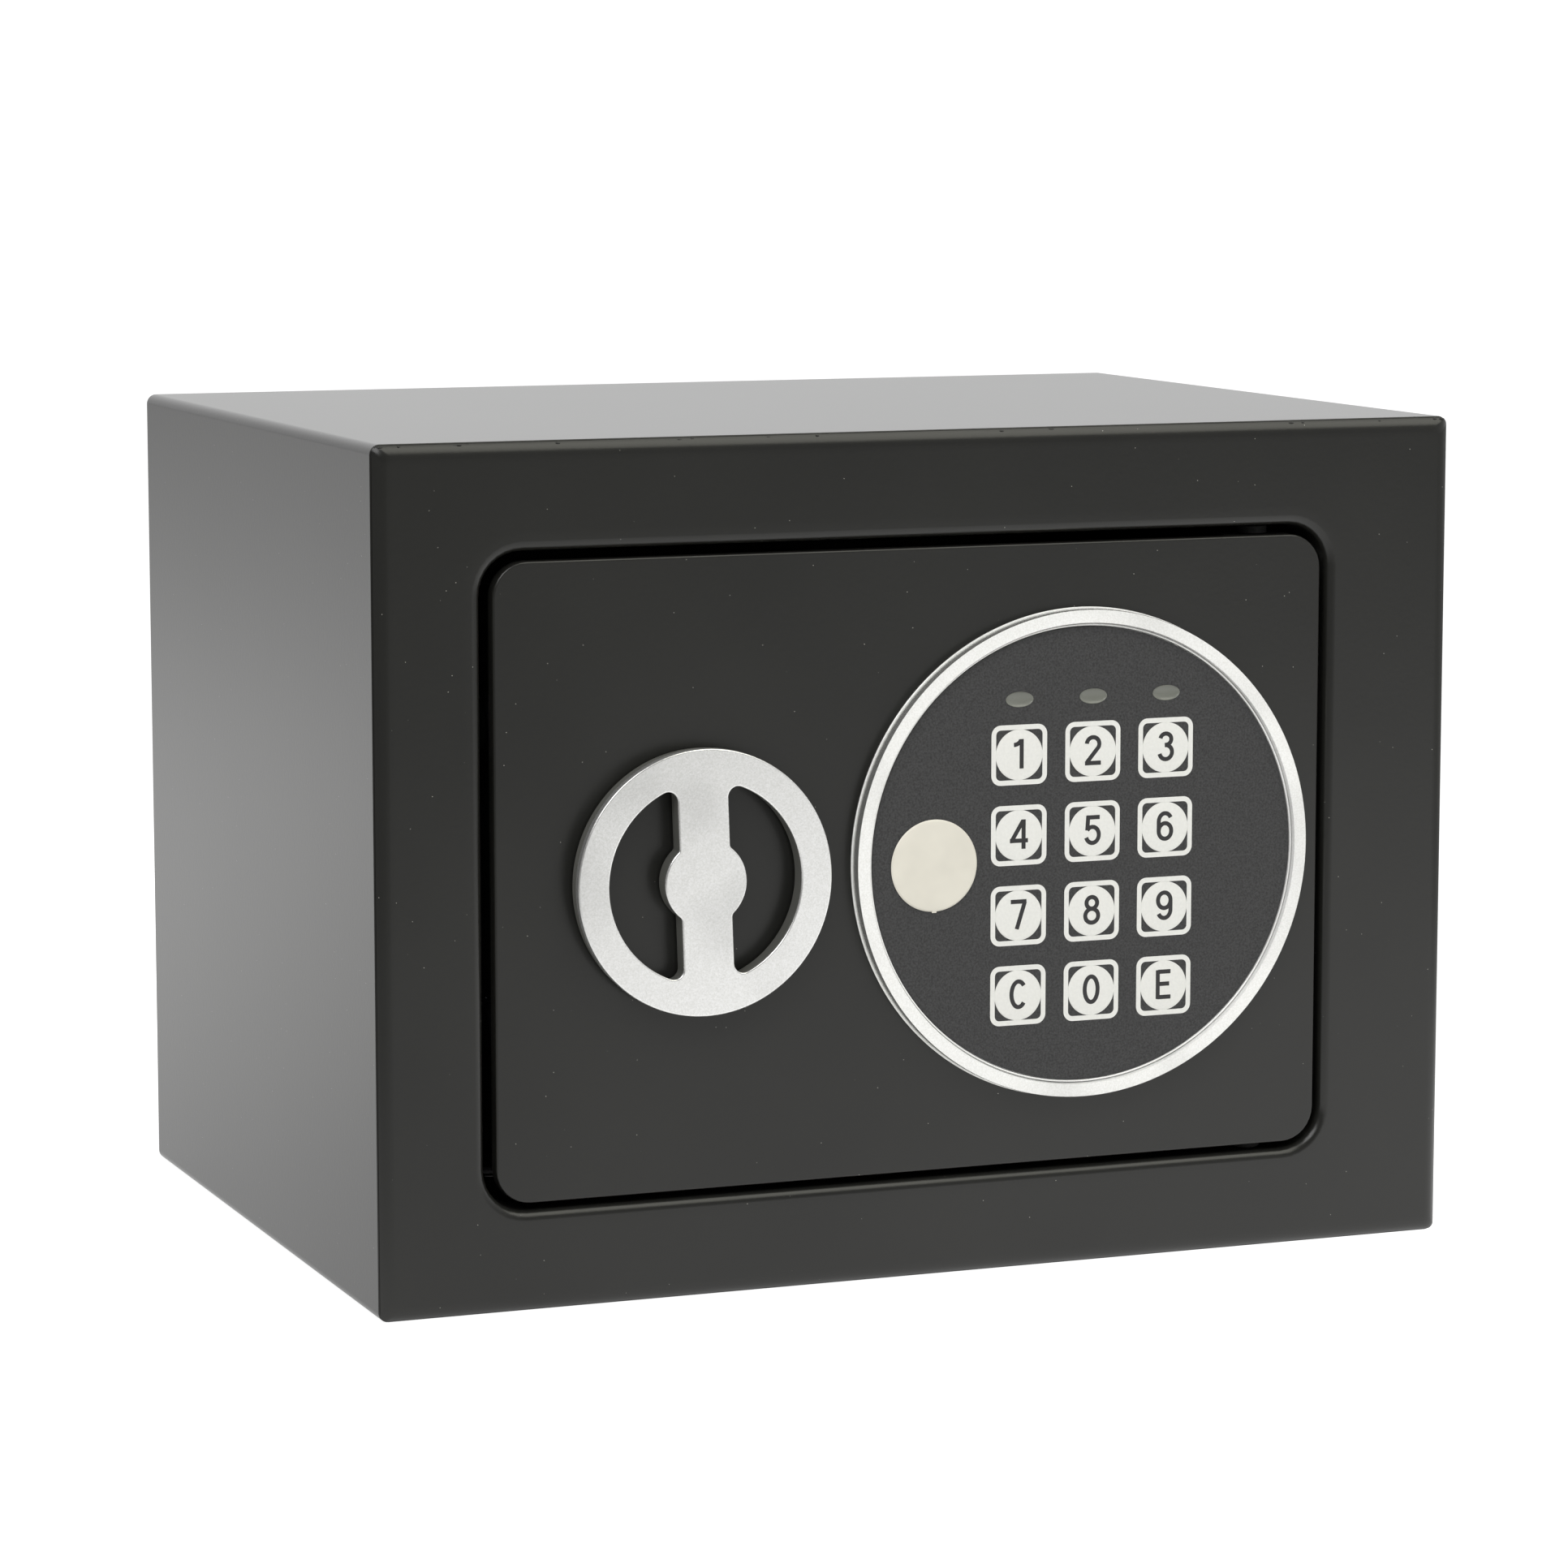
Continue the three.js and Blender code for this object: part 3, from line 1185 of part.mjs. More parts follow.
function batteryHolder() {
  const box = (area, depth) => block([area.left, area.right], depth, [area.bottom, area.top]);
  const shell = join(
    box(holderOutside, [holderFront, rimBack]),
    box(rimArea, [holderBack, railBack]),
  );
  const lidSpace = {
    left: rimArea.left - OVERSHOOT,
    right: rimArea.right - RAIL_WALL,
    bottom: rimArea.bottom + RAIL_WALL,
    top: rimArea.top - RAIL_WALL,
  };
  const railed = cut(
    shell,
    box(holderInside, [holderFront + HOLDER_WALL, rimBack + OVERSHOOT]),
    box(lidSpace, [rimBack, railBack + OVERSHOOT]),
  );
  const tabs = tabPlaces.flatMap((x) =>
    edgeBars([x, x + TAB_LENGTH], [lidBack + RUNNING, railBack], RAIL_WALL + TAB_REACH));
  return join(railed, ...tabs);
}

function batteryLid() {
  const slack = RAIL_WALL + RUNNING;
  const plate = block(
    [rimArea.left, rimArea.right - slack],
    [rimBack + RUNNING / 2, lidBack],
    [rimArea.bottom + slack, rimArea.top - slack],
  );
  const notches = tabPlaces.flatMap((x) => edgeBars(
    [x + TAB_LENGTH, x + TAB_LENGTH + LID_TRAVEL + RUNNING],
    [rimBack, railBack],
    slack + TAB_REACH,
  ));
  const grip = block(
    [rimArea.left + LID_GRIP_WIDTH, rimArea.left + 2 * LID_GRIP_WIDTH],
    [lidBack - LID_GRIP_HEIGHT, lidBack + LID_GRIP_HEIGHT],
    [-LID_GRIP_LENGTH / 2, LID_GRIP_LENGTH / 2],
  );
  return cut(join(plate, grip), ...notches);
}

function batteryCell(flipped) {
  const half = BATTERY_LENGTH / 2;
  const cell = alongX(turned([
    [0, -half],
    [BATTERY_RADIUS, -half],
    [BATTERY_RADIUS, half - BATTERY_NUB],
    [BATTERY_NUB_RADIUS, half - BATTERY_NUB],
    [BATTERY_NUB_RADIUS, half],
    [0, half],
  ]));
  if (flipped) cell.rotateY(Math.PI);
  return cell.translate(0, holderFront + HOLDER_WALL + SEAM + BATTERY_RADIUS, 0);
}

addPiece(batteryBox, 'battery_holder', batteryHolder(), blackPlastic);
addPiece(batteryBox, 'battery_lid', batteryLid(), blackPlastic);
for (let i = 0; i < BATTERY_COUNT; i++) {
  const height = ((BATTERY_COUNT - 1) / 2 - i) * BATTERY_PITCH;
  addPiece(batteryBox, `battery_${i + 1}`, batteryCell(i % 2 === 1), cellWrap, 0, height);
}

// The origin is under the middle of the whole safe, from the knob's face to the back panel.
const model = new THREE.Group();
safe.position.y = (frontReach - DEPTH) / 2;
model.add(safe);

export default model;
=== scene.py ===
"""The finished surfaces of a small electronic safe, modelled around its CAD frame.

Metres, in the frame of the CAD model: +X is to the right as the front shows it, +Y goes into the
safe and +Z is up. Depths are taken from the cabinet's front plane.
"""

import math
import random

import bmesh
import bpy
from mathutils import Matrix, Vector


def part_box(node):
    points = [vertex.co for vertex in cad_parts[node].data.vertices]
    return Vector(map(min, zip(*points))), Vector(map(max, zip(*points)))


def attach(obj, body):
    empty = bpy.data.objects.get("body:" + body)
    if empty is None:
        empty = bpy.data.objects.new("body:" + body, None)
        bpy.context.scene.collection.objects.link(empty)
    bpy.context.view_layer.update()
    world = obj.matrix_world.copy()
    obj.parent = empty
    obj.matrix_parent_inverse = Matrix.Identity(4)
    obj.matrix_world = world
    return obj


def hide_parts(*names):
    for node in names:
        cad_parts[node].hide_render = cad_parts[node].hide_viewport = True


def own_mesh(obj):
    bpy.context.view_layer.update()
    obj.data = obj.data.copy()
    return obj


bl_info = {
    "name": "Electronic safe",
    "version": (1, 0, 0),
    "blender": (4, 5, 0),
    "location": "3D View > Sidebar > Safe",
    "description": "Models the finished surfaces of a small electronic safe around its CAD frame",
    "category": "Object",
}

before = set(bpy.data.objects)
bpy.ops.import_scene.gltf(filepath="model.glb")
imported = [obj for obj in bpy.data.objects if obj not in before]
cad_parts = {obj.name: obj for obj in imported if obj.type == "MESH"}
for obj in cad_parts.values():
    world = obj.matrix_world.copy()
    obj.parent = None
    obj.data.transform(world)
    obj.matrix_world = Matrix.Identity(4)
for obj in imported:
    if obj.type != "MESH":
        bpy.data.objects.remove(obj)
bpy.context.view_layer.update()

MM = 0.001
NEAR = 0.02 * MM
OVERSHOOT = 1 * MM  # cutting tools, past the face that they cut
PLAY = 0.15 * MM  # between pieces that fit into each other
CAP_STUB = 7.4 * MM  # radius of the part of the cap that enters the film
HALF_LIGHT = 3 * MM  # half the width of an oval light
X = Vector((1, 0, 0))
Y = Vector((0, 1, 0))
Z = Vector((0, 0, 1))
KEYS = ["1", "2", "3", "4", "5", "6", "7", "8", "9", "c", "0", "e"]
SCREWS = [f"cover_screw_{i}" for i in range(1, 5)]


def bow(x, z, wide, tall, start, end, steps=18):
    """Points along an oval arc, with its angles in degrees from +X towards +Z."""
    angles = [math.radians(start + (end - start) * i / steps) for i in range(steps + 1)]
    return [(x + wide * math.cos(a), z + tall * math.sin(a)) for a in angles]


# The middle lines of the digits' strokes, in millimetres from the middle of the key.
STROKES = {
    "0": [bow(0, 0, 1.35, 2.55, 0, 360, 36)],
    "1": [[(0.45, 2.9), (0.45, -2.9)], bow(-1.15, 2.95, 1.45, 1.15, -90, -8)],
    "2": [
        bow(0, 1.2, 1.3, 1.35, 175, -28) + [(-1.2, -2.3)],
        [(-1.65, -2.55), (1.65, -2.55)],
    ],
    "3": [bow(0, 1.42, 1.15, 1.13, 168, -100), bow(0, -1.15, 1.32, 1.4, 100, -168)],
    "4": [
        [(0.85, 2.7), (-1.45, -1.2)],
        [(-1.85, -1.25), (1.85, -1.25)],
        [(0.95, 2.9), (0.95, -2.9)],
    ],
    "5": [
        [(-1.2, 2.55), (1.5, 2.55)],
        [(-0.87, 2.9), (-1.07, 0)],
        bow(0, -0.95, 1.35, 1.6, 142, -162),
    ],
    "6": [bow(0, -1, 1.32, 1.55, 0, 360, 30), bow(0, 0.9, 1.32, 1.65, 28, 180) + [(-1.32, -1)]],
    "7": [[(-1.6, 2.55), (1.62, 2.55)], [(1.3, 2.5), (-0.35, -2.9)]],
    "8": [bow(0, 1.4, 1.1, 1.15, 0, 360, 30), bow(0, -1.17, 1.35, 1.38, 0, 360, 30)],
    "C": [bow(0.1, 0, 1.45, 2.55, 42, 318, 30)],
    "E": [
        [(-1.2, 2.9), (-1.2, -2.9)],
        [(-1.2, 2.55), (1.45, 2.55)],
        [(-1.2, 0.1), (1.2, 0.1)],
        [(-1.2, -2.55), (1.5, -2.55)],
    ],
}
STROKES["9"] = [[(-x, -z) for x, z in line] for line in STROKES["6"]]


def middle(node):
    """The middle of a CAD node's box."""
    low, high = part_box(node)
    return (low + high) / 2


def ahead(node, y):
    """The point at depth y, in line with the middle of a CAD node."""
    place = middle(node)
    return Vector((place.x, y, place.z))


def half_width(node, axis="x"):
    """Half of a CAD node's width along an axis, which is its radius where it is round."""
    low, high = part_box(node)
    return (getattr(high, axis) - getattr(low, axis)) / 2


def area_of(node):
    """A CAD node's (left, right, bottom, top), as the front shows it."""
    low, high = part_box(node)
    return low.x, high.x, low.z, high.z


def grown(area, by):
    """An area with its four edges moved out by a distance."""
    left, right, bottom, top = area
    return left - by, right + by, bottom - by, top + by


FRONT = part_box("front_frame")[0].y
DOOR_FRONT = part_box("door_plate")[0].y
COVER_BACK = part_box("inner_cover")[1].y
SAFE_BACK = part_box("back_panel")[1].y
FACE_FRONT, FACE_BACK = (corner.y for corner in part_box("keypad_face"))
PAD = middle("keypad_bezel")
KNOB = middle("knob_face")


# Settings


def length(name, description, millimetres):
    """A length in metres that a user can set, with its default given in millimetres."""
    return bpy.props.FloatProperty(
        name=name,
        description=description,
        default=millimetres * MM,
        min=0.0,
        precision=5,
        subtype="DISTANCE",
        unit="LENGTH",
    )


def linear(hex_color):
    """The linear RGBA of an sRGB hex colour."""
    channels = [int(hex_color[i : i + 2], 16) / 255 for i in (1, 3, 5)]
    return [c / 12.92 if c <= 0.04045 else ((c + 0.055) / 1.055) ** 2.4 for c in channels] + [1.0]


def tint(name, description, hex_color):
    """A colour that a user can set, with its default given as sRGB hex."""
    return bpy.props.FloatVectorProperty(
        name=name,
        description=description,
        default=linear(hex_color),
        size=4,
        min=0.0,
        max=1.0,
        subtype="COLOR",
    )


def angle(name, description, degrees):
    """An angle in radians that a user can set, with its default given in degrees."""
    return bpy.props.FloatProperty(
        name=name,
        description=description,
        default=math.radians(degrees),
        subtype="ANGLE",
        unit="ROTATION",
    )


class CabinetSettings(bpy.types.PropertyGroup):
    paint: tint("Paint", "Powder coat of the cabinet and the door", "#1e1e1c")
    fold: length("Fold radius", "Outside radius of the cabinet's long folds", 2)
    corner: length("Back corner", "Corner radius of the back panel", 0.85)
    edge: length("Back edge", "Edge radius of the back panel", 2.4)
    rim_corner: length("Front corner", "Corner radius of the pressed front", 1.35)
    rim: length("Front edge", "Radius of the pressed front's rolled edge", 3.6)
    rim_step: length("Rim step", "How far that edge stands out over the folded sheet", 0.9)
    rim_spread: length("Rim spread", "How far that edge stands out past the CAD model's", 0.4)
    seam: length("Seam", "Gap between the pressed front and the folded sheet", 0.25)
    frame_sheet: length("Front sheet", "Sheet thickness of the pressed front", 1.5)
    sheet: length("Sheet", "Sheet thickness of the folded cabinet and the back panel", 1)
    flange: length("Flange", "Depth of the flanges inside the folded cabinet", 12)
    opening_corner: length("Opening corner", "Corner radius of the door's opening", 8.5)
    lip: length("Lip radius", "Radius of the rolled lip round the opening", 2)
    lip_depth: length("Lip depth", "Depth of the lip round the opening", 10)
    cut_edge: length("Cut edge", "Rounding of the folded sheet's cut edges, outside", 0.25)
    hole_edge: length("Hole edge", "How far the edges of the floor holes are eased", 0.15)
    weld_size: length("Weld lump", "Size of the lumps of weld on the front's seam", 0.55)
    weld_lumps: bpy.props.IntProperty(
        name="Weld lumps",
        description="Number of lumps of weld on the front's seam",
        default=34,
        min=1,
    )
    anchor_radius: length("Anchor hole", "Radius of the anchor holes", 5)
    anchor_spacing: length("Anchor spacing", "Distance between two anchor holes", 110)
    anchor_set_back: length("Floor anchors", "Floor holes, from the back panel", 55)
    anchor_height: length("Wall anchors", "Wall holes, above the base", 95)


class DoorSettings(bpy.types.PropertyGroup):
    gap_left: length("Left gap", "Gap between the door and its opening, on the left", 2.4)
    gap_right: length("Right gap", "Gap between the door and its opening, on the right", 1.5)
    gap_bottom: length("Bottom gap", "Gap between the door and its opening, at the bottom", 1.5)
    gap_top: length("Top gap", "Gap between the door and its opening, at the top", 2)
    corner: length("Corner", "Corner radius of the door plate", 7)
    thickness: length("Thickness", "Thickness of the door plate", 3)
    edge: length("Edge", "Edge radius of the door's face", 0.5)
    post_radius: length("Post radius", "Radius of the posts that hold the inner cover", 3.5)


class CoverSettings(bpy.types.PropertyGroup):
    paint: tint("Paint", "Powder coat of the cover inside the door", "#1a1a19")
    sheet: length("Sheet", "Sheet thickness of the inner cover", 1)
    corner: length("Corner", "Corner radius of the inner cover", 3)
    edge: length("Edge", "Folded edge radius of the inner cover", 2)
    clearance: length("Clearance", "Gap round what comes through the cover", 0.3)
    rim: length("Rim", "Width of the battery holder's rim over the cover", 2.5)
    screw_hole: length("Screw hole", "Radius of the holes for the cover's screws", 1.8)


class KeypadSettings(bpy.types.PropertyGroup):
    film: tint("Film", "Printed film of the keypad", "#3d3d3e")
    print_color: tint("Print", "Pale ink of the keys and their outlines", "#e8e8e5")
    ink: tint("Ink", "Dark ink of the digits", "#2b2a2c")
    ring_width: length("Ring width", "Width of the silver ring's face", 3)
    ring_edge: length("Ring edge", "Rounding of the silver ring's edges", 0.22)
    ring_foot: length("Ring foot", "Reach of the thin foot under the silver ring", 0.3)
    groove: length("Groove", "Width of the groove inside the silver ring's face", 0.25)
    band: length("Band", "Width of the thin band inside that groove", 0.32)
    film_gap: length("Film gap", "Gap round the film, inside that band", 0.2)
    ledge: length("Ledge", "Width of the ledge that carries the film", 3.7)
    outline: length("Outline", "Side of the rounded square round a key", 12.1)
    outline_width: length("Outline width", "Line width of that rounded square", 1.0)
    outline_corner: length("Outline corner", "Corner radius of that rounded square", 2)
    print_thickness: length("Print thickness", "Height of the printed ink over the film", 0.03)
    stroke: length("Stroke", "Width of a digit's strokes", 0.85)
    digit_stretch: bpy.props.FloatVectorProperty(
        name="Digit stretch",
        description="Width and height of a digit, as shares of its drawn ones",
        default=(1.06, 1.02),
        size=2,
        min=0.1,
    )
    digit_rise: length("Digit rise", "How far a digit stands over its key's middle", 0.2)
    key_fit: length("Key fit", "Gap round a key in the film", 0.04)


class LockSettings(bpy.types.PropertyGroup):
    cap: tint("Cap", "Ivory cap over the emergency lock", "#e3dfd4")
    cap_edge: length("Cap edge", "Edge radius of the cap", 0.4)
    nib_width: length("Nib width", "Width of the finger nib at the cap's lower edge", 1)
    nib_reach: length("Nib reach", "How far the nib stands out below the cap", 0.25)


class KnobSettings(bpy.types.PropertyGroup):
    silver: tint("Silver", "Satin silver lacquer of the knob and the ring", "#fefefc")
    rim: length("Rim", "Width of the knob's rim", 6.4)
    spoke: length("Spoke", "Width of the knob's spoke", 10.5)
    hub: length("Hub", "Radius of the knob's hub", 8.5)
    corner: length("Window corner", "Corner radius of the finger windows", 2)
    edge: length("Edge", "Edge radius of the silver face", 0.4)
    face_depth: length("Face", "Thickness of the silver face, inside its skirt", 0.7)
    skirt: length("Skirt", "Wall of the skirt round the silver face", 1.5)
    fit: length("Fit", "Gap between the silver face and the black body", 0.05)
    body_edge: length("Body edge", "Edge radius of the black body", 0.25)
    body_step: length("Body step", "Black body, inside the silver face all round", 0.3)
    tilt: angle("Tilt", "Lean of the spoke from upright, to the left at the top", 2)


class MatSettings(bpy.types.PropertyGroup):
    felt: tint("Felt", "Felt of the mat on the bottom", "#3c3c3d")
    edge: length("Edge", "How far the mat's edges are eased", 0.5)


class StageSettings(bpy.types.PropertyGroup):
    azimuth: angle("Azimuth", "Camera's direction round the safe", -21.381)
    elevation: angle("Elevation", "Camera's height over the horizon", 7.747)
    distance: length("Distance", "Camera's distance from the point that it aims at", 1055.4)
    aim: bpy.props.FloatVectorProperty(
        name="Aim",
        description="Point that the camera aims at",
        default=(-0.02245, -0.05948, 0.09798),
        subtype="TRANSLATION",
    )
    focal_length: bpy.props.FloatProperty(
        name="Focal length",
        description="Focal length in millimetres, for a sensor 36 mm wide",
        default=120.55,
        min=1.0,
    )
    floor_size: length("Floor size", "Side of the pale floor", 16000)


# Modelling


def activate(obj):
    """Leaves edit mode and makes obj the one selected object."""
    if bpy.context.mode != "OBJECT":
        bpy.ops.object.mode_set(mode="OBJECT")
    bpy.ops.object.select_all(action="DESELECT")
    obj.select_set(True)
    bpy.context.view_layer.objects.active = obj
    return obj


def edit(obj):
    """Opens obj in edit mode with its whole mesh selected."""
    activate(obj)
    bpy.ops.object.mode_set(mode="EDIT")
    bpy.ops.mesh.select_mode(type="VERT")
    bpy.ops.mesh.select_all(action="SELECT")


def settle():
    """Puts the active object's place, turn and scale in its mesh, in object mode."""
    if bpy.context.mode != "OBJECT":
        bpy.ops.object.mode_set(mode="OBJECT")
    bpy.ops.object.transform_apply(location=True, rotation=True, scale=True)
    return bpy.context.object


def pick(kind, test):
    """In edit mode, selects just the vertices, edges or faces that pass a test."""
    bpy.ops.mesh.select_mode(type=kind)
    bpy.ops.mesh.select_all(action="DESELECT")
    data = bpy.context.edit_object.data
    mesh = bmesh.from_edit_mesh(data)
    for part in {"VERT": mesh.verts, "EDGE": mesh.edges, "FACE": mesh.faces}[kind]:
        if test(part):
            part.select_set(True)
    mesh.select_flush_mode()
    bmesh.update_edit_mesh(data)


def at_depth(y):
    """A test for edges that lie in the plane at depth y."""
    return lambda edge: all(abs(v.co.y - y) < NEAR for v in edge.verts)


def modify(obj, kind, **settings):
    """Adds a modifier to obj, sets it and applies it."""
    activate(obj)
    bpy.ops.object.modifier_add(type=kind)
    modifier = obj.modifiers[-1]
    for name, value in settings.items():
        setattr(modifier, name, value)
    bpy.ops.object.modifier_apply(modifier=modifier.name)
    return obj


def combine(obj, tools, operation="DIFFERENCE"):
    """Cuts the tools out of obj, or joins them to it, and removes them."""
    for tool in tools:
        modify(obj, "BOOLEAN", operation=operation, object=tool, solver="EXACT")
        bpy.data.objects.remove(tool)
    return obj


def ease(obj, radius, segments=3, angle=40):
    """Rounds every edge that is sharper than an angle."""
    return modify(
        obj,
        "BEVEL",
        width=radius,
        segments=segments,
        limit_method="ANGLE",
        angle_limit=math.radians(angle),
        miter_outer="MITER_ARC",
    )


def round_edges(test, radius, segments=6):
    """In edit mode, rounds the edges that pass a test."""
    pick("EDGE", test)
    bpy.ops.mesh.bevel(offset=radius, segments=segments, affect="EDGES", clamp_overlap=False)


def push(distance):
    """In edit mode, draws the selected edges out into walls along Y."""
    bpy.ops.mesh.extrude_edges_move(TRANSFORM_OT_translate={"value": (0, distance, 0)})


def close(obj):
    """Turns a closed mesh's faces outwards and leaves edit mode."""
    bpy.ops.mesh.select_all(action="SELECT")
    bpy.ops.mesh.normals_make_consistent(inside=False)
    return activate(obj)


def give_thickness(sheet, out, thickness):
    """Makes an open sheet solid, behind the side whose widest faces point along out."""
    edit(sheet)
    mesh = bmesh.from_edit_mesh(sheet.data)
    if sum((f.normal.dot(out) * f.calc_area() for f in mesh.faces), 0.0) < 0:
        bpy.ops.mesh.flip_normals()
    return modify(sheet, "SOLIDIFY", thickness=thickness, offset=-1, use_even_offset=True)


def add_box(low, high):
    """A cuboid between two corners."""
    low, high = Vector(low), Vector(high)
    bpy.ops.mesh.primitive_cube_add(size=1, location=(low + high) / 2)
    bpy.ops.transform.resize(value=high - low)
    return settle()


def add_rod(centre, axis, radius, size, sides=48):
    """A cylinder about an axis through its centre."""
    bpy.ops.mesh.primitive_cylinder_add(
        vertices=sides,
        radius=radius,
        depth=size,
        location=centre,
        rotation=Z.rotation_difference(axis).to_euler(),
    )
    return settle()


def add_pin(node, y, radius, size, sides=48):
    """A cylinder along Y in line with the middle of a CAD node, with its own middle at y."""
    return add_rod(ahead(node, y), Y, radius, size, sides)


def add_sheet(area, y, corner):
    """A flat sheet with round corners that faces the front."""
    left, right, bottom, top = area
    bpy.ops.mesh.primitive_plane_add(
        size=1,
        location=((left + right) / 2, y, (bottom + top) / 2),
        rotation=(math.pi / 2, 0, 0),
    )
    bpy.ops.transform.resize(value=(right - left, 1, top - bottom))
    sheet = settle()
    edit(sheet)
    if corner:
        bpy.ops.mesh.bevel(offset=corner, segments=8, affect="VERTICES")
    return activate(sheet)


def thicken(sheet, depth):
    """Makes a flat sheet solid, back to a depth behind its face."""
    edit(sheet)
    bpy.ops.mesh.extrude_region_move(TRANSFORM_OT_translate={"value": (0, depth, 0)})
    return close(sheet)


def add_tray(area, face, flange, edge, corner=0.0):
    """A flat face with a rolled edge and flanges behind it, open at the back."""
    tray = add_sheet(area, face, corner)
    edit(tray)
    pick("EDGE", lambda e: e.is_boundary)
    push(flange)
    round_edges(at_depth(face), edge)
    return activate(tray)


def add_rings(area, corner, rings):
    """A skin drawn through rings of (distance in from the area's edges, depth)."""
    left, right, bottom, top = area
    skin = add_sheet(grown(area, -rings[0][0]), rings[0][1], corner)
    edit(skin)
    bpy.ops.mesh.delete(type="ONLY_FACE")
    bpy.ops.mesh.select_all(action="SELECT")
    for (inset, start), (next_inset, end) in zip(rings, rings[1:]):
        push(end - start)
        width = (right - left - 2 * next_inset) / (right - left - 2 * inset)
        height = (top - bottom - 2 * next_inset) / (top - bottom - 2 * inset)
        centre = ((left + right) / 2, 0, (bottom + top) / 2)
        bpy.ops.transform.resize(value=(width, 1, height), center_override=centre)
    return activate(skin)


def quarter(radius, start=0.0, steps=6):
    """An arc's points as (distance in, depth), from a start angle up to the flat face."""
    angles = [start + (math.pi / 2 - start) * i / steps for i in range(steps + 1)]
    side = math.cos(start)
    return [(radius * (side - math.cos(a)), radius * (1 - math.sin(a))) for a in angles]


def add_lip(area, face, corner, radius, depth):
    """A rolled lip round an opening, with a narrow flat ring round it, open at both ends."""
    ring = radius + 2 * MM
    lip = add_sheet(grown(area, ring), face, corner + ring)
    edit(lip)
    bpy.ops.mesh.inset(thickness=ring)
    bpy.ops.mesh.delete(type="FACE")
    left, right, bottom, top = grown(area, NEAR)

    def inside(edge):
        return edge.is_boundary and all(
            left < v.co.x < right and bottom < v.co.z < top for v in edge.verts
        )

    pick("EDGE", inside)
    push(depth)
    round_edges(lambda e: e.calc_face_angle(0) > 1, radius)
    return activate(lip)


def ease_corners(tray, area, face, edge, corner):
    """Rounds a solid tray's four corners outside, from the flat face to the flanges' ends."""
    left, right, bottom, top = area

    def outside(vertex):
        in_x = min(vertex.co.x - left, right - vertex.co.x)
        in_z = min(vertex.co.z - bottom, top - vertex.co.z)
        out = math.hypot(max(edge - in_x, 0), max(edge - abs(vertex.co.y - face), 0))
        return abs(in_x - in_z) < NEAR and out > edge - NEAR

    edit(tray)
    short = 10 * edge
    round_edges(lambda e: all(map(outside, e.verts)) and e.calc_length() < short, corner, 4)
    return activate(tray)


def draw(points):
    """A wire drawn from vertex to vertex."""
    bpy.ops.mesh.primitive_plane_add(size=MM)
    wire = settle()
    edit(wire)
    bpy.ops.mesh.merge(type="CENTER")
    bpy.ops.transform.translate(value=points[0])
    for here, there in zip(points, points[1:]):
        bpy.ops.mesh.extrude_vertices_move(TRANSFORM_OT_translate={"value": there - here})
    return wire


def add_outline(points, depth):
    """A flat closed outline at its points' depth, filled and made solid to a depth behind it."""
    shape = draw(points)
    bpy.ops.mesh.select_all(action="SELECT")
    bpy.ops.mesh.edge_face_add()
    return thicken(shape, depth)


def turn(centre, axis, profile, steps=64):
    """A turned piece: its profile of (radius, distance along the axis) points, spun round."""
    side = X if abs(axis.z) > 0.5 else Z
    wire = draw([centre + side * radius + axis * along for radius, along in profile])
    bpy.ops.mesh.select_all(action="SELECT")
    bpy.ops.mesh.spin(steps=steps, angle=math.tau, center=centre, axis=axis)
    bpy.ops.mesh.select_all(action="SELECT")
    bpy.ops.mesh.remove_doubles(threshold=NEAR / 2)
    return close(wire)


def rounded(profile, radius, steps=3):
    """A turned profile with its corners made round. The first and last points stay."""
    points = [Vector(p) for p in profile]
    out = [points[0]]
    for before, corner, after in zip(points, points[1:], points[2:]):
        reach = min(radius, (before - corner).length / 2, (after - corner).length / 2)
        start = corner + (before - corner).normalized() * reach
        end = corner + (after - corner).normalized() * reach
        for i in range(steps + 1):
            t = i / steps
            out.append(start * (1 - t) ** 2 + corner * 2 * t * (1 - t) + end * t**2)
    out.append(points[-1])
    return [tuple(p) for p in out]


def arc(centre, radius, start, end, steps):
    """Points along an arc in the X and Z plane, with angles in radians from +X towards +Z."""
    angles = [start + (end - start) * i / steps for i in range(steps + 1)]
    return [centre + radius * (X * math.cos(a) + Z * math.sin(a)) for a in angles]


def copy_to(obj, offset):
    """A copy of obj with its own mesh, moved by an offset."""
    activate(obj)
    bpy.ops.object.duplicate()
    bpy.context.object.location = offset
    return settle()


def join(objects):
    """Several objects as one."""
    activate(objects[0])
    for other in objects[1:]:
        other.select_set(True)
    bpy.ops.object.join()
    return objects[0]


def complete(obj, name, body, slot, material, *stands_for, angle=35):
    """Names a finished piece, gives it its material and body, and smooths its round faces."""
    activate(obj)
    obj.name = obj.data.name = name
    if material:
        obj.data.materials.clear()
        obj.data.materials.append(material)
    bpy.ops.object.shade_smooth_by_angle(angle=math.radians(angle))
    modify(obj, "WEIGHTED_NORMAL", keep_sharp=True)
    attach(obj, body)
    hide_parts(*stands_for)
    return obj


def assign(obj, material, test):
    """Gives the faces of a finished piece that pass a test a further material."""
    obj.data.materials.append(material)
    obj.active_material_index = len(obj.data.materials) - 1
    edit(obj)
    pick("FACE", test)
    bpy.ops.object.material_slot_assign()
    return activate(obj)


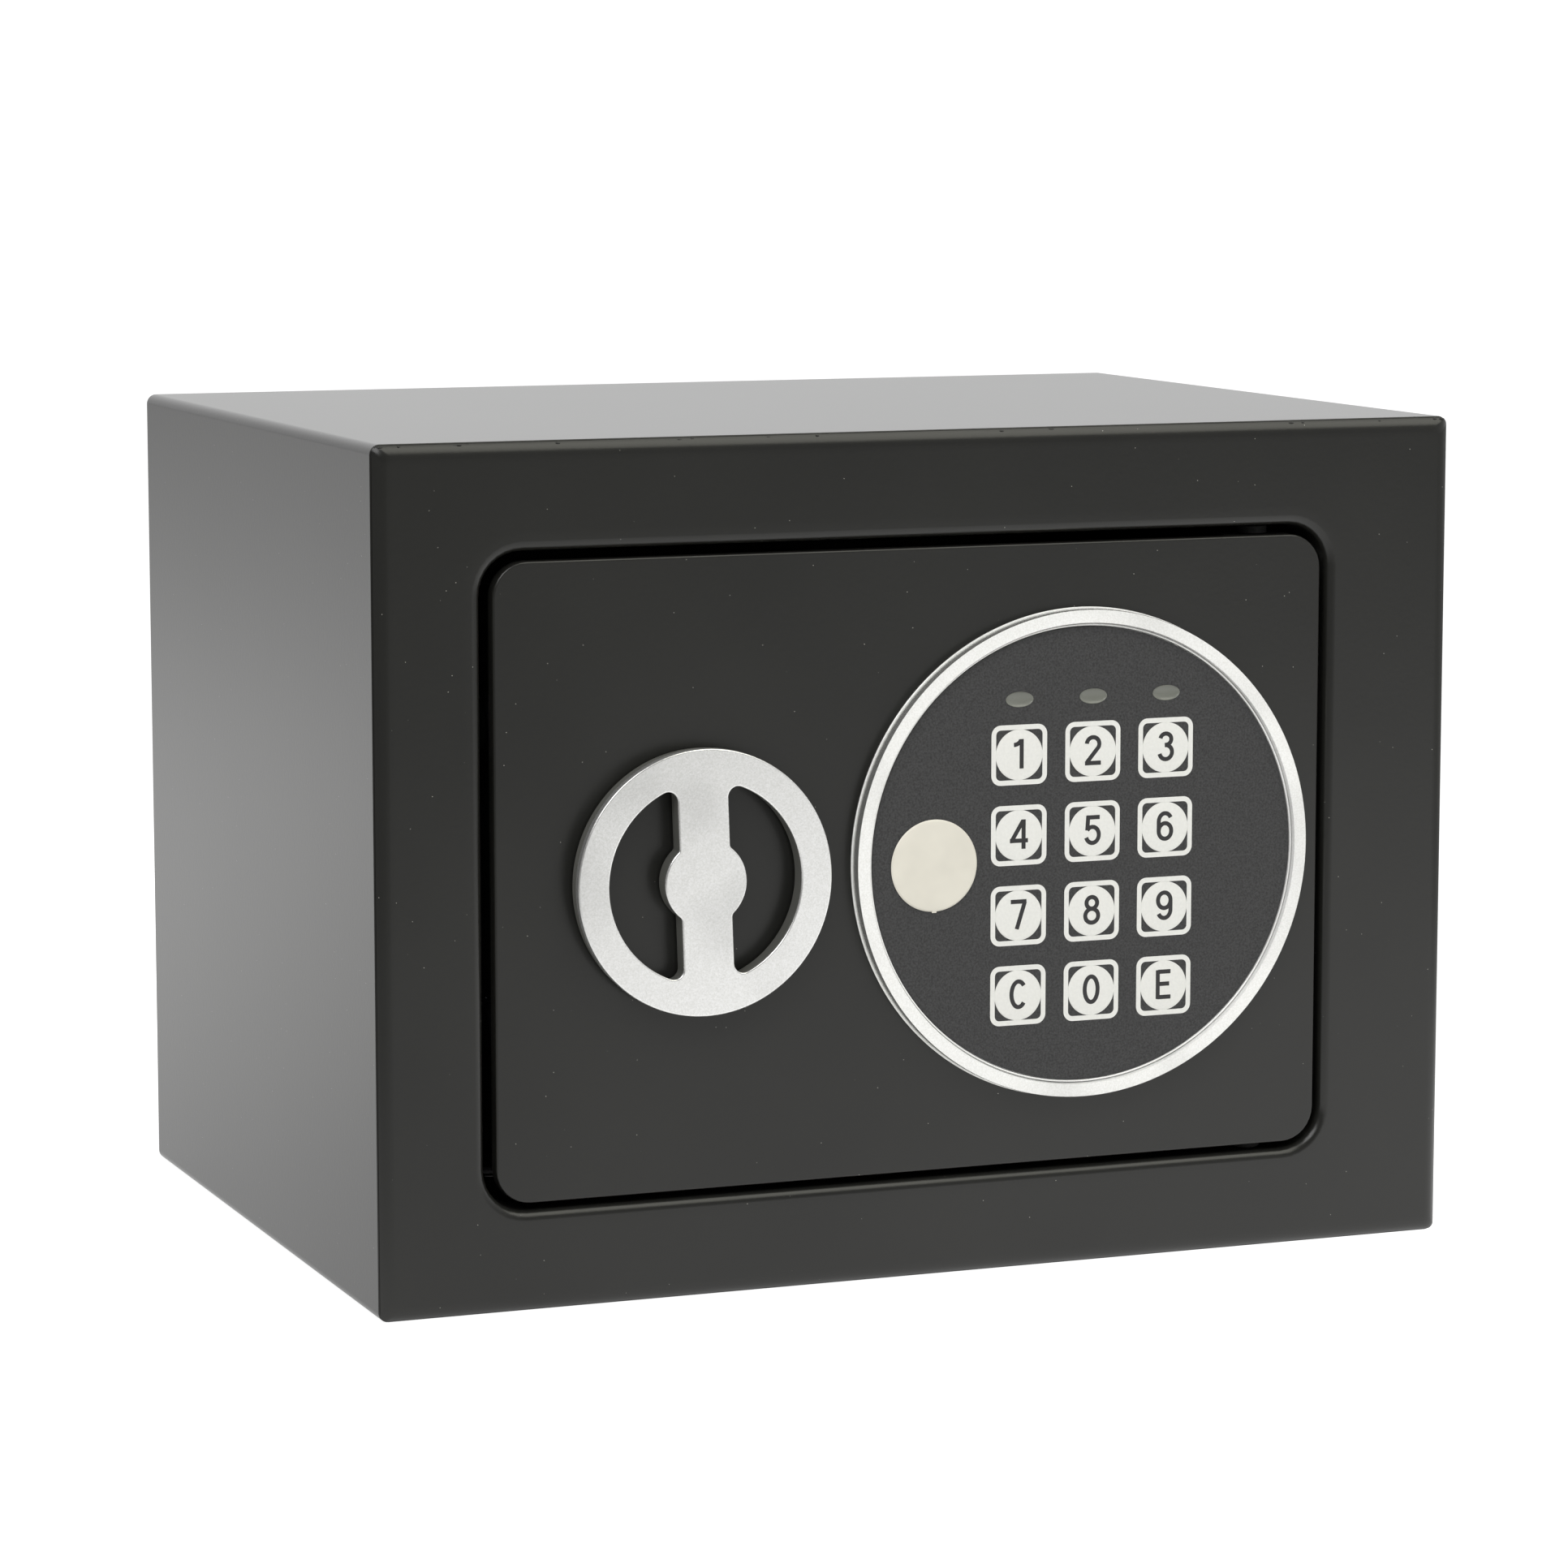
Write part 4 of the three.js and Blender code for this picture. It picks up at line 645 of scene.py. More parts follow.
def eased_copy(node, radius):
    """A copy of a CAD node with its triangles merged to whole faces and its edges rounded."""
    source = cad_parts[node]
    copy = bpy.data.objects.new(node + "_copy", source.data.copy())
    bpy.context.scene.collection.objects.link(copy)
    edit(copy)
    bpy.ops.mesh.remove_doubles(threshold=NEAR / 4)
    bpy.ops.mesh.dissolve_limited(angle_limit=math.radians(1))
    return ease(copy, radius, segments=2)


# Materials


def add_node(tree, kind, settings):
    """Adds a shader node. Settings name attributes, or inputs with a value or a source."""
    node = tree.nodes.new("ShaderNode" + kind)
    for name, value in settings.items():
        if isinstance(value, bpy.types.NodeSocket):
            tree.links.new(value, node.inputs[name])
        elif isinstance(name, int) or name in node.inputs:
            node.inputs[name].default_value = value
        else:
            setattr(node, name, value)
    return node


def fade(tree, place, *fades):
    """The product of numbers that each go from one value to another along a direction.

    Each fade is the direction, the two places along it and the values at those places.
    """
    product = None
    for direction, (start, end), (first, last) in fades:
        along = add_node(tree, "VectorMath", {"operation": "DOT_PRODUCT", 0: place, 1: direction})
        limits = {"From Min": start, "From Max": end, "To Min": first, "To Max": last}
        share = add_node(tree, "MapRange", {0: along.outputs["Value"], **limits}).outputs[0]
        if product is not None:
            both = {"operation": "MULTIPLY", 0: product, 1: share}
            share = add_node(tree, "Math", both).outputs[0]
        product = share
    return product


def new_material(name, color, roughness, **shader_settings):
    """A material with one surface shader. Returns it, its node tree and the shader."""
    material = bpy.data.materials.new(name)
    material.use_nodes = True
    material.diffuse_color = color
    tree = material.node_tree
    tree.nodes.clear()
    sockets = {key.replace("_", " "): value for key, value in shader_settings.items()}
    sockets.update({"Base Color": color, "Roughness": roughness})
    shader = add_node(tree, "BsdfPrincipled", sockets)
    add_node(tree, "OutputMaterial", {"Surface": shader.outputs["BSDF"]})
    return material, tree, shader


def shade_of(color, by):
    """A colour made darker or lighter by a factor."""
    return [min(1.0, channel * by) for channel in color[:3]] + [1.0]


def cloudy(tree, shader, color, size, low, high):
    """Slow changes of colour between two shades. Returns the place and the mixed shades."""
    place = add_node(tree, "TexCoord", {}).outputs["Object"]
    clouds = add_node(tree, "TexNoise", {"Vector": place, "Scale": 1 / size, "Detail": 3.0})
    limits = {"From Min": 0.3, "From Max": 0.7}
    share = add_node(tree, "MapRange", {0: clouds.outputs["Fac"], **limits}).outputs[0]
    shades = {0: share, 6: shade_of(color, low), 7: shade_of(color, high)}
    mixed = add_node(tree, "Mix", {"data_type": "RGBA", **shades}).outputs[2]
    tree.links.new(mixed, shader.inputs["Base Color"])
    return place, mixed


def grainy(tree, shader, place, size, depth, detail=2.0):
    """An uneven surface, with grains of one size and depth."""
    grains = add_node(tree, "TexNoise", {"Vector": place, "Scale": 1 / size, "Detail": detail})
    bump = add_node(tree, "Bump", {"Distance": depth, "Height": grains.outputs["Fac"]})
    tree.links.new(bump.outputs["Normal"], shader.inputs["Normal"])


def mottled(name, color, roughness, clouds, grain, **shader_settings):
    """A material with clouds of (size, darkest, lightest) and grain of (size, depth, detail)."""
    material, tree, shader = new_material(name, color, roughness, **shader_settings)
    place, shades = cloudy(tree, shader, color, *clouds)
    grainy(tree, shader, place, *grain)
    return material, tree, shader, place, shades


def powder_coat(name, color, roughness=0.28):
    """Powder-coated steel: a baked satin film with a faint orange peel and a little dust on it."""
    # Real orange peel is about 1 mm across and a few microns deep.
    clouds, peel = (45 * MM, 0.88, 1.12), (0.9 * MM, 0.012 * MM)
    material, tree, shader, place, shades = mottled(name, color, roughness, clouds, peel, IOR=1.5)
    # The dust is spread one speck to a cell through space, so that few lie on a face.
    cell, radius = 3 * MM, 0.09 * MM
    cells = add_node(tree, "TexVoronoi", {"Vector": place, "Scale": 1 / cell})
    limits = {"From Min": radius / cell, "From Max": 0.5 * radius / cell, "To Max": 0.9}
    speck = add_node(tree, "MapRange", {0: cells.outputs["Distance"], **limits}).outputs[0]
    dust = {0: speck, 6: shades, 7: linear("#dcdad2")}
    mixed = add_node(tree, "Mix", {"data_type": "RGBA", **dust})
    tree.links.new(mixed.outputs[2], shader.inputs["Base Color"])
    return material


def silver_lacquer(name, color, metallic=0.8):
    """Moulded ABS with a satin silver lacquer: metal flakes give it a fine speckle."""
    # Flakes are finer than 0.1 mm. They are drawn coarser, so that the speckle shows.
    flakes, grain = (0.32 * MM, 0.86, 1.05), (0.3 * MM, 0.004 * MM, 3.0)
    material, tree, shader, place, shades = mottled(
        name, color, 0.26, flakes, grain, Metallic=metallic
    )
    # The silver is darker in soft patches about 2 cm across, spread at random.
    patches = add_node(tree, "TexNoise", {"Vector": place, "Scale": 1 / (18 * MM), "Detail": 1.0})
    limits = {"From Min": 0.48, "From Max": 0.7, "To Min": 1.0, "To Max": 0.89}
    depth = add_node(tree, "MapRange", {0: patches.outputs["Fac"], **limits}).outputs[0]
    coat = add_node(tree, "VectorMath", {"operation": "SCALE", 0: shades, "Scale": depth})
    tree.links.new(coat.outputs[0], shader.inputs["Base Color"])
    return material


def moulded_abs(name, color, roughness, size=0.25, depth=0.008):
    """Injection-moulded ABS: an even colour under an eroded grain, its size and depth in mm."""
    clouds, grain = (12 * MM, 0.92, 1.08), (size * MM, depth * MM)
    return mottled(name, color, roughness, clouds, grain, IOR=1.54)[0]


def keypad_film(name, color):
    """Polycarbonate film with a velvet texture: fine grain that scatters light evenly."""
    # The film's grain is about 0.1 mm. It is drawn at 0.4 mm, so that it shows.
    clouds, grain = (0.4 * MM, 0.66, 1.36), (0.4 * MM, 0.012 * MM)
    return mottled(name, color, 0.6, clouds, grain, IOR=1.58, Specular_IOR_Level=0.25)[0]


def screen_ink(name, color):
    """Screen-printed ink: an opaque matt layer, with faint thin spots where the mesh was."""
    return mottled(name, color, 0.5, (0.6 * MM, 0.97, 1.03), (0.3 * MM, 0.003 * MM))[0]


def zinc_plate(name, color="#b4b7ba", roughness=0.34):
    """Zinc-plated steel: a dull metal shine, mottled where the plating passivated."""
    clouds, grain = (3 * MM, 0.82, 1.1), (0.5 * MM, 0.006 * MM)
    return mottled(name, linear(color), roughness, clouds, grain, Metallic=1.0)[0]


def turned_brass(name):
    """Turned brass: warm metal with fine marks left by the tool."""
    clouds, grain = (2 * MM, 0.88, 1.08), (0.2 * MM, 0.004 * MM)
    return mottled(name, linear("#c2a560"), 0.3, clouds, grain, Metallic=1.0)[0]


def needled_felt(name, color):
    """Needled polyester felt: matted fibres, flecked lighter and darker, with a soft sheen."""
    clouds, grain = (0.8 * MM, 0.6, 1.5), (0.6 * MM, 0.25 * MM, 5.0)
    return mottled(name, color, 0.95, clouds, grain, Sheen_Weight=0.25)[0]


def enamelled_winding(name):
    """Enamelled copper wire, wound in layers: fine ridges round the coil."""
    color = linear("#a5622f")
    material, tree, shader = new_material(name, color, 0.32, Metallic=0.8)
    place, _ = cloudy(tree, shader, color, 4 * MM, 0.9, 1.1)
    # The texture runs through 20 / tau waves for each unit of scale: the ridges are 1.9 mm apart.
    waves = {"bands_direction": "Z", "Scale": 1 / (20 * 0.3 * MM), "Distortion": 0.3}
    ridges = add_node(tree, "TexWave", {"Vector": place, **waves})
    bump = add_node(tree, "Bump", {"Distance": 0.1 * MM, "Height": ridges.outputs["Fac"]})
    tree.links.new(bump.outputs["Normal"], shader.inputs["Normal"])
    return material


def solder_mask(name):
    """Glass-epoxy board under green solder mask: tracks show as a lighter green."""
    color = linear("#23552f")
    material, tree, shader = new_material(name, color, 0.35)
    place = add_node(tree, "TexCoord", {}).outputs["Object"]
    cells = {"Scale": 1 / (6 * MM), "distance": "MANHATTAN", "feature": "DISTANCE_TO_EDGE"}
    tracks = add_node(tree, "TexVoronoi", {"Vector": place, **cells})
    edge = add_node(tree, "MapRange", {0: tracks.outputs[0], "From Min": 0.05, "From Max": 0.09})
    shades = {0: edge.outputs[0], 6: shade_of(color, 1.8), 7: color}
    mixed = add_node(tree, "Mix", {"data_type": "RGBA", **shades})
    tree.links.new(mixed.outputs[2], shader.inputs["Base Color"])
    return material


def cell_wrap(name, axis_start):
    """Printed film on an alkaline cell: dark for most of its length, with a coppery end."""
    dark = linear("#202226")
    material, tree, shader = new_material(name, dark, 0.3, Metallic=0.6)
    place = add_node(tree, "TexCoord", {}).outputs["Object"]
    split = add_node(tree, "SeparateXYZ", {0: place})
    limits = {"From Min": axis_start, "From Max": axis_start + 0.2 * MM}
    band = add_node(tree, "MapRange", {0: split.outputs["X"], **limits}).outputs[0]
    shades = {0: band, 6: dark, 7: linear("#b07a45")}
    mixed = add_node(tree, "Mix", {"data_type": "RGBA", **shades})
    tree.links.new(mixed.outputs[2], shader.inputs["Base Color"])
    return material


# Pieces


def anchor_cutters(cabinet, y, z, axis, size):
    """Cutters for two anchor holes, at a depth and a height."""
    return [
        add_rod((side * cabinet.anchor_spacing / 2, y, z), axis, cabinet.anchor_radius, size)
        for side in (-1, 1)
    ]


class SAFE_OT_cabinet(bpy.types.Operator):
    """Models the folded cabinet, its pressed front and its back panel"""

    bl_idname = "safe.cabinet"
    bl_label = "Cabinet"

    def execute(self, context):
        settings = context.scene.safe_cabinet
        paint = powder_coat("powder-coated steel, cabinet", settings.paint)
        look = ("cabinet", "charcoal_paint", paint)
        door = context.scene.safe_door
        complete(self.wrap(settings), "folded_cabinet", *look, "body_wrap")
        complete(self.front(settings, door), "pressed_front", *look, "front_frame")
        complete(self.welds(settings), "seam_welds", *look)
        complete(self.back(settings), "pressed_back", *look, "back_panel")
        return {"FINISHED"}

    def wrap(self, settings):
        """The sheet that is folded round the top, the bottom and the sides."""
        low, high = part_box("body_wrap")
        cut = quarter(settings.cut_edge, steps=4)
        rings = [
            (settings.sheet, low.y),
            *[(inset, low.y + depth) for inset, depth in reversed(cut)],
            *[(inset, high.y - depth) for inset, depth in cut],
            (settings.sheet, high.y),
        ]
        wrap = add_rings(area_of("body_wrap"), settings.fold, rings)
        edit(wrap)
        pick("EDGE", lambda e: e.is_boundary)
        bpy.ops.mesh.bridge_edge_loops()
        close(wrap)
        holes = anchor_cutters(settings, SAFE_BACK - settings.anchor_set_back, 0, Z, 4 * MM)
        return ease(combine(wrap, holes), settings.hole_edge, segments=2, angle=60)

    def front(self, settings, door):
        """The pressed front, with a rolled edge outside and a rolled lip round the opening."""
        left, right, bottom, top = area_of("door_plate")
        left, right = left - door.gap_left, right + door.gap_right
        bottom, top = bottom - door.gap_bottom, top + door.gap_top
        opening = (left, right, bottom, top)
        rim = self.rim(settings)
        sheet, half = settings.frame_sheet, FRONT + settings.frame_sheet / 2
        lip = add_lip(opening, FRONT, settings.opening_corner, settings.lip, settings.lip_depth)
        edit(give_thickness(lip, -Y, sheet))

        def outer_wall(face):
            return abs(face.normal.y) < 0.1 and abs(face.calc_center_median().y - half) < NEAR

        pick("FACE", outer_wall)
        bpy.ops.mesh.delete(type="FACE")
        activate(lip)
        front = join([rim, lip])
        edit(front)
        for flat in (at_depth(FRONT), at_depth(FRONT + sheet)):
            pick("EDGE", lambda e: e.is_boundary and flat(e))
            bpy.ops.mesh.fill()
        return close(front)

    def rim(self, settings):
        """The front's rolled edge and its flange, open towards the middle of the face."""
        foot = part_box("body_wrap")[0].y - settings.seam - FRONT
        roll = quarter(settings.rim, math.asin(1 - foot / settings.rim))
        step, sheet = settings.rim_step, settings.frame_sheet
        rings = [
            (step + sheet + MM, sheet),
            (step + sheet, sheet),
            (step + sheet, settings.flange),
            (step, settings.flange),
            (step, foot),
            *roll,
            (roll[-1][0] + MM, 0),
        ]
        area = grown(area_of("front_frame"), settings.rim_spread)
        return add_rings(area, settings.rim_corner, [(i, FRONT + depth) for i, depth in rings])

    def welds(self, settings):
        """Small lumps of weld under the paint, along the seam over the pressed front."""
        left, right, _, top = area_of("front_frame")
        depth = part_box("body_wrap")[0].y
        chance = random.Random(11)
        crowding = 1.6  # towards the left
        lumps = []
        for _ in range(settings.weld_lumps):
            along = left + (right - left) * chance.random() ** crowding
            y = depth - chance.uniform(0.1, 0.6) * MM
            z = top + chance.uniform(0, 0.15) * MM
            bpy.ops.mesh.primitive_ico_sphere_add(
                subdivisions=2, radius=settings.weld_size / 2, location=(along, y, z)
            )
            stretch = (chance.uniform(1, 2.6), chance.uniform(0.6, 1), chance.uniform(0.5, 0.9))
            bpy.ops.transform.resize(value=stretch)
            lumps.append(settle())
        return join(lumps)

    def back(self, settings):
        """The back panel, a shallow tray with its flanges inside the folded sheet."""
        area = area_of("back_panel")
        panel = add_tray(area, SAFE_BACK, -settings.flange, settings.edge)
        give_thickness(panel, Y, settings.sheet)
        ease_corners(panel, area, SAFE_BACK, settings.edge, settings.corner)
        holes = anchor_cutters(settings, SAFE_BACK, settings.anchor_height, Y, 4 * MM)
        return combine(panel, holes)


class SAFE_OT_floor_mat(bpy.types.Operator):
    """Models the felt mat that lies on the bottom"""

    bl_idname = "safe.floor_mat"
    bl_label = "Floor mat"

    def execute(self, context):
        settings = context.scene.safe_mat
        cabinet = context.scene.safe_cabinet
        low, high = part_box("floor_mat")
        mat = add_box(low, high)
        holes = anchor_cutters(cabinet, SAFE_BACK - cabinet.anchor_set_back, high.z, Z, 8 * MM)
        ease(combine(mat, holes), settings.edge)
        modify(mat, "REMESH", mode="VOXEL", voxel_size=0.9 * MM)
        felt = needled_felt("needled polyester felt", settings.felt)
        complete(mat, "felt_mat", "cabinet", "grey_felt", felt, "floor_mat", angle=60)
        return {"FINISHED"}


class SAFE_OT_door(bpy.types.Operator):
    """Models the door plate with its posts, and the hinge"""

    bl_idname = "safe.door"
    bl_label = "Door"

    def execute(self, context):
        settings = context.scene.safe_door
        cabinet = context.scene.safe_cabinet
        paint = powder_coat("powder-coated steel, door", cabinet.paint)
        sheet = add_sheet(area_of("door_plate"), DOOR_FRONT, settings.corner)
        plate = thicken(sheet, settings.thickness)
        edit(plate)
        round_edges(at_depth(DOOR_FRONT), settings.edge, 4)
        activate(plate)
        cover_sheet = context.scene.safe_cover.sheet
        combine(plate, [self.post(screw, settings, cover_sheet) for screw in SCREWS], "UNION")
        bore = 1.65 * MM
        bores = [add_rod(middle(screw), Y, bore, 20 * MM, 24) for screw in SCREWS]
        # The radius of the hole for each of these, key_5 standing for the keypad's wires.
        holes = {"knob_bush": 5.95 * MM, "lock_body": 6.65 * MM, "key_5": 4 * MM}
        passages = [add_pin(node, DOOR_FRONT, hole, 12 * MM) for node, hole in holes.items()]
        combine(plate, bores + passages)
        complete(plate, "door_panel", "door", "charcoal_paint", paint, "door_plate")
        # The hinge's lugs and pins take the cabinet's charcoal paint, made near-black and very
        # matt: painted shade, so that they stay as dark as the shade in the gap beside the door.
        gap_shade_hinge_paint = powder_coat("hinge paint darkened as painted shade", linear("#0c0c0b"), roughness=0.9)
        for node in ("hinge_lug_upper", "hinge_lug_lower", "hinge_pin_upper", "hinge_pin_lower"):
            piece = eased_copy(node, 0.15 * MM)
            complete(piece, node + "_eased", "door", "charcoal_paint", gap_shade_hinge_paint, node)
        return {"FINISHED"}

    def post(self, screw, settings, cover_sheet):
        """A post that is welded to the plate's back, for one of the cover's screws."""
        start = DOOR_FRONT + settings.thickness / 2
        end = COVER_BACK - cover_sheet - PLAY
        return add_pin(screw, (start + end) / 2, settings.post_radius, end - start, 32)


class SAFE_OT_inner_cover(bpy.types.Operator):
    """Models the cover over the inside of the door, with its screws"""

    bl_idname = "safe.inner_cover"
    bl_label = "Inner cover"

    def execute(self, context):
        settings = context.scene.safe_cover
        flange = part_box("inner_cover")[0].y - COVER_BACK
        area = area_of("inner_cover")
        pan = add_tray(area, COVER_BACK, flange, settings.edge, settings.corner)
        give_thickness(pan, Y, settings.sheet)
        combine(pan, self.cutters(settings))
        paint = powder_coat("powder-coated steel, inner cover", settings.paint, roughness=0.55)
        complete(pan, "cover_pan", "door", "black_paint", paint, "inner_cover")
        self.screws()
        return {"FINISHED"}

    def cutters(self, settings):
        """Cutters for the bolts, the screws, the reset button and the battery box."""
        tools = []
        for node in ("bolt_upper", "bolt_lower"):
            centre = middle(node)
            centre.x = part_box(node)[0].x
            radius = half_width(node, "z") + settings.clearance
            tools.append(add_rod(centre, X, radius, 16 * MM))
        holes = dict.fromkeys(SCREWS, settings.screw_hole)
        holes["reset_button"] = half_width("reset_button") + settings.clearance
        for node, radius in holes.items():
            tools.append(add_pin(node, COVER_BACK, radius, 6 * MM, 32))
        rim = settings.rim - settings.clearance
        left, right, bottom, top = grown(area_of("battery_holder"), -rim)
        front, back = COVER_BACK - 3 * MM, COVER_BACK + 3 * MM
        tools.append(add_box((left, front, bottom), (right, back, top)))
        return tools

    def screws(self):
        """Pan-head screws with a cross recess."""
        zinc = zinc_plate("zinc-plated steel, screws", "#c3c6c8", 0.28)
        low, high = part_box(SCREWS[0])
        place = middle(SCREWS[0])
        head = half_width(SCREWS[0])
        shank = head / 2
        seat = COVER_BACK + PLAY
        crown = high.y - seat
        profile = [
            (0, low.y),
            (shank - 0.3 * MM, low.y),
            (shank, low.y + 0.5 * MM),
            (shank, seat),
            (head - 0.1 * MM, seat),
            (head, seat + 0.1 * MM),
            (head, seat + 0.35 * crown),
            (head * 0.93, seat + 0.6 * crown),
            (head * 0.72, seat + 0.87 * crown),
            (head * 0.4, high.y),
            (0, high.y),
        ]
        screw = turn(ahead(SCREWS[0], 0), Y, profile, 40)
        arm, web = head * 0.56, head * 0.13
        top = high.y + OVERSHOOT
        floor = seat + crown * 0.25
        cross = [
            add_box(
                (place.x - across, floor, place.z - up), (place.x + across, top, place.z + up)
            )
            for across, up in ((arm, web), (web, arm))
        ]
        combine(screw, cross)
        for node in SCREWS:
            copy = copy_to(screw, middle(node) - place)
            complete(copy, node + "_turned", "door", "zinc_steel", zinc, node)
        bpy.data.objects.remove(screw)


class SAFE_OT_keypad(bpy.types.Operator):
    """Models the silver ring, the printed film and the lights"""

    bl_idname = "safe.keypad"
    bl_label = "Keypad"

    def execute(self, context):
        settings = context.scene.safe_keypad
        self.ring(settings, context.scene.safe_knob.silver)
        self.film(settings)
        self.outlines(settings)
        self.lights()
        return {"FINISHED"}

    def ring(self, settings, silver):
        """The ring, on a thin foot that lies on the door."""
        front, back = (corner.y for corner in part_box("keypad_bezel"))
        outer = half_width("keypad_bezel")
        wall = outer - settings.ring_foot
        inner = outer - settings.ring_width
        groove = inner - settings.groove
        step = groove - settings.band
        ledge = inner - settings.ledge
        floor = front + 1.8 * MM
        foot = back - 0.5 * MM
        edge = settings.ring_edge
        profile = [
            (ledge, back),
            (ledge, FACE_BACK + PLAY),
            (step, FACE_BACK + PLAY),
            (step, front + MM),
            (step + 0.08 * MM, front + 0.9 * MM),
            (groove - 0.05 * MM, front + 0.9 * MM),
            (groove, front + MM),
            (groove, floor),
            (inner, floor),
            (inner, front + edge),
            (inner + 0.3 * edge, front + 0.3 * edge),
            (inner + edge, front),
            (wall - edge, front),
            (wall - 0.3 * edge, front + 0.3 * edge),
            (wall, front + edge),
            (wall, foot),
            (outer - 0.1 * MM, foot),
            (outer, foot + 0.1 * MM),
            (outer, back),
            (ledge, back),
        ]
        ring = turn(ahead("keypad_bezel", 0), Y, profile, 160)
        lacquer = silver_lacquer("silver-lacquered ABS, keypad ring", silver, metallic=0.12)
        complete(ring, "keypad_ring", "door", "bezel_plastic", lacquer, "keypad_bezel")
        greyer = silver_lacquer("silver-lacquered ABS, ring's wall", linear("#e6e6e3"))

        def on_wall(face):
            place = face.calc_center_median()
            from_axis = math.hypot(place.x - PAD.x, place.z - PAD.z)
            return abs(face.normal.y) < 0.5 and from_axis > wall - edge

        assign(ring, greyer, on_wall)

    def film(self, settings):
        """The film, with openings for the keys, the lights and the cap."""
        inside = settings.ring_width + settings.groove + settings.band + settings.film_gap
        radius = half_width("keypad_bezel") - inside
        depth = FACE_BACK - FACE_FRONT
        film = add_pin("keypad_bezel", FACE_FRONT + depth / 2, radius, depth, 160)
        hole = half_width("key_1") + settings.key_fit
        tools = [add_pin(f"key_{key}", FACE_FRONT, hole, 4 * MM, 64) for key in KEYS]
        for centre in self.light_places():
            tools.append(self.oval(centre - Y * OVERSHOOT, 0.05 * MM, 3 * OVERSHOOT))
        tools.append(add_pin("key_cover", FACE_FRONT, CAP_STUB + 0.3 * MM, 4 * MM, 64))
        combine(film, [join(tools)])
        velvet = keypad_film("velvet polycarbonate film", settings.film)
        complete(film, "printed_film", "door", "keypad_film", velvet, "keypad_face")

    def outlines(self, settings):
        """The printed rounded squares round the keys."""
        first = middle("key_1")
        half = settings.outline / 2
        area = (first.x - half, first.x + half, first.z - half, first.z + half)
        face = FACE_FRONT - settings.print_thickness
        outline = add_sheet(area, face, settings.outline_corner)
        edit(outline)
        bpy.ops.mesh.inset(thickness=settings.outline_width)
        bpy.ops.mesh.delete(type="FACE")
        give_thickness(outline, -Y, settings.print_thickness)
        outlines = [outline]
        outlines += [copy_to(outline, middle(f"key_{key}") - first) for key in KEYS[1:]]
        ink = screen_ink("pale screen ink, outlines", settings.print_color)
        complete(join(outlines), "key_outlines", "door", "key_white", ink)

    def light_places(self):
        """The middles of the three lights, in line with the keys' columns."""
        height = middle("led_lens").z
        return [Vector((middle(f"key_{k}").x, FACE_FRONT, height)) for k in ("1", "2", "3")]

    def oval(self, centre, clearance, depth):
        """A light's oval outline, made solid. It is half as high as the lens moulding."""
        wide, tall = HALF_LIGHT + clearance, half_width("led_lens", "z") / 2 + clearance
        points = [
            centre + X * wide * math.cos(a) + Z * tall * math.sin(a)
            for a in (math.tau * i / 40 for i in range(40))
        ]
        return add_outline(points, depth)

    def dish(self, centre):
        """A cutter that hollows a light's oval, 0.45 mm deep."""
        set_forward, reach = 0.25 * MM, 0.7 * MM
        bpy.ops.mesh.primitive_uv_sphere_add(
            segments=40, ring_count=20, radius=1, location=centre - Y * set_forward
        )
        bpy.ops.transform.resize(value=(HALF_LIGHT, reach, half_width("led_lens", "z") / 2))
        return settle()

    def lights(self):
        """One smoked lens moulding: a bar behind the film, and a dished oval in each opening."""
        low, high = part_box("led_lens")
        bar = add_box((low.x, FACE_BACK + 0.05 * MM, low.z), high)
        proud = Y * 0.06 * MM
        depth = high.y - FACE_FRONT + proud.y
        ovals = [self.oval(centre - proud, 0.0, depth) for centre in self.light_places()]
        combine(bar, ovals, "UNION")
        combine(bar, [self.dish(centre) for centre in self.light_places()])
        color = linear("#74766f")
        lens = moulded_abs("smoked polycarbonate lens", color, 0.28, size=0.45, depth=0.035)
        complete(bar, "light_lenses", "door", "lens_plastic", lens, "led_lens")


class SAFE_OT_keys(bpy.types.Operator):
    """Models the twelve keys with their digits"""

    bl_idname = "safe.keys"
    bl_label = "Keys"

    def execute(self, context):
        settings = context.scene.safe_keypad
        pale = screen_ink("pale screen ink, keys", settings.print_color)
        dark = screen_ink("dark screen ink, digits", settings.ink)
        first = middle("key_1")
        low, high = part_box("key_1")
        radius = half_width("key_1")
        profile = [
            (0, low.y),
            (0.6 * radius, low.y + 0.01 * MM),
            (radius - 0.25 * MM, low.y + 0.05 * MM),
            (radius, low.y + 0.12 * MM),
            (radius, high.y),
            (0, high.y),
        ]
        disc = turn(ahead("key_1", 0), Y, profile, 72)
        disc.data.materials.append(pale)
        for key in KEYS:
            node = f"key_{key}"
            copy = copy_to(disc, middle(node) - first)
            digit = self.digit(key.upper(), middle(node), low.y, settings)
            digit.data.materials.append(dark)
            complete(join([copy, digit]), node + "_printed", node, "key_white", None, node)
        bpy.data.objects.remove(disc)
        return {"FINISHED"}

    def digit(self, text, place, face, settings):
        """One digit as thin ink on the key's face: round strokes, pressed flat."""
        wires = []
        for line in STROKES[text]:
            wire = draw([Vector((x, 0, z)) * MM for x, z in line])
            bpy.ops.mesh.select_all(action="SELECT")
            bpy.ops.mesh.remove_doubles(threshold=NEAR)
            wires.append(activate(wire))
        join(wires)
        bpy.ops.object.convert(target="CURVE")
        letter = bpy.context.object
        letter.data.bevel_depth = settings.stroke / 2
        letter.data.bevel_resolution = 2
        letter.data.use_fill_caps = True
        bpy.ops.object.convert(target="MESH")
        letter = bpy.context.object
        letter.location = (place.x, face, place.z + settings.digit_rise)
        wide, tall = settings.digit_stretch
        letter.scale = (wide, 2 * settings.print_thickness / settings.stroke, tall)
        return settle()


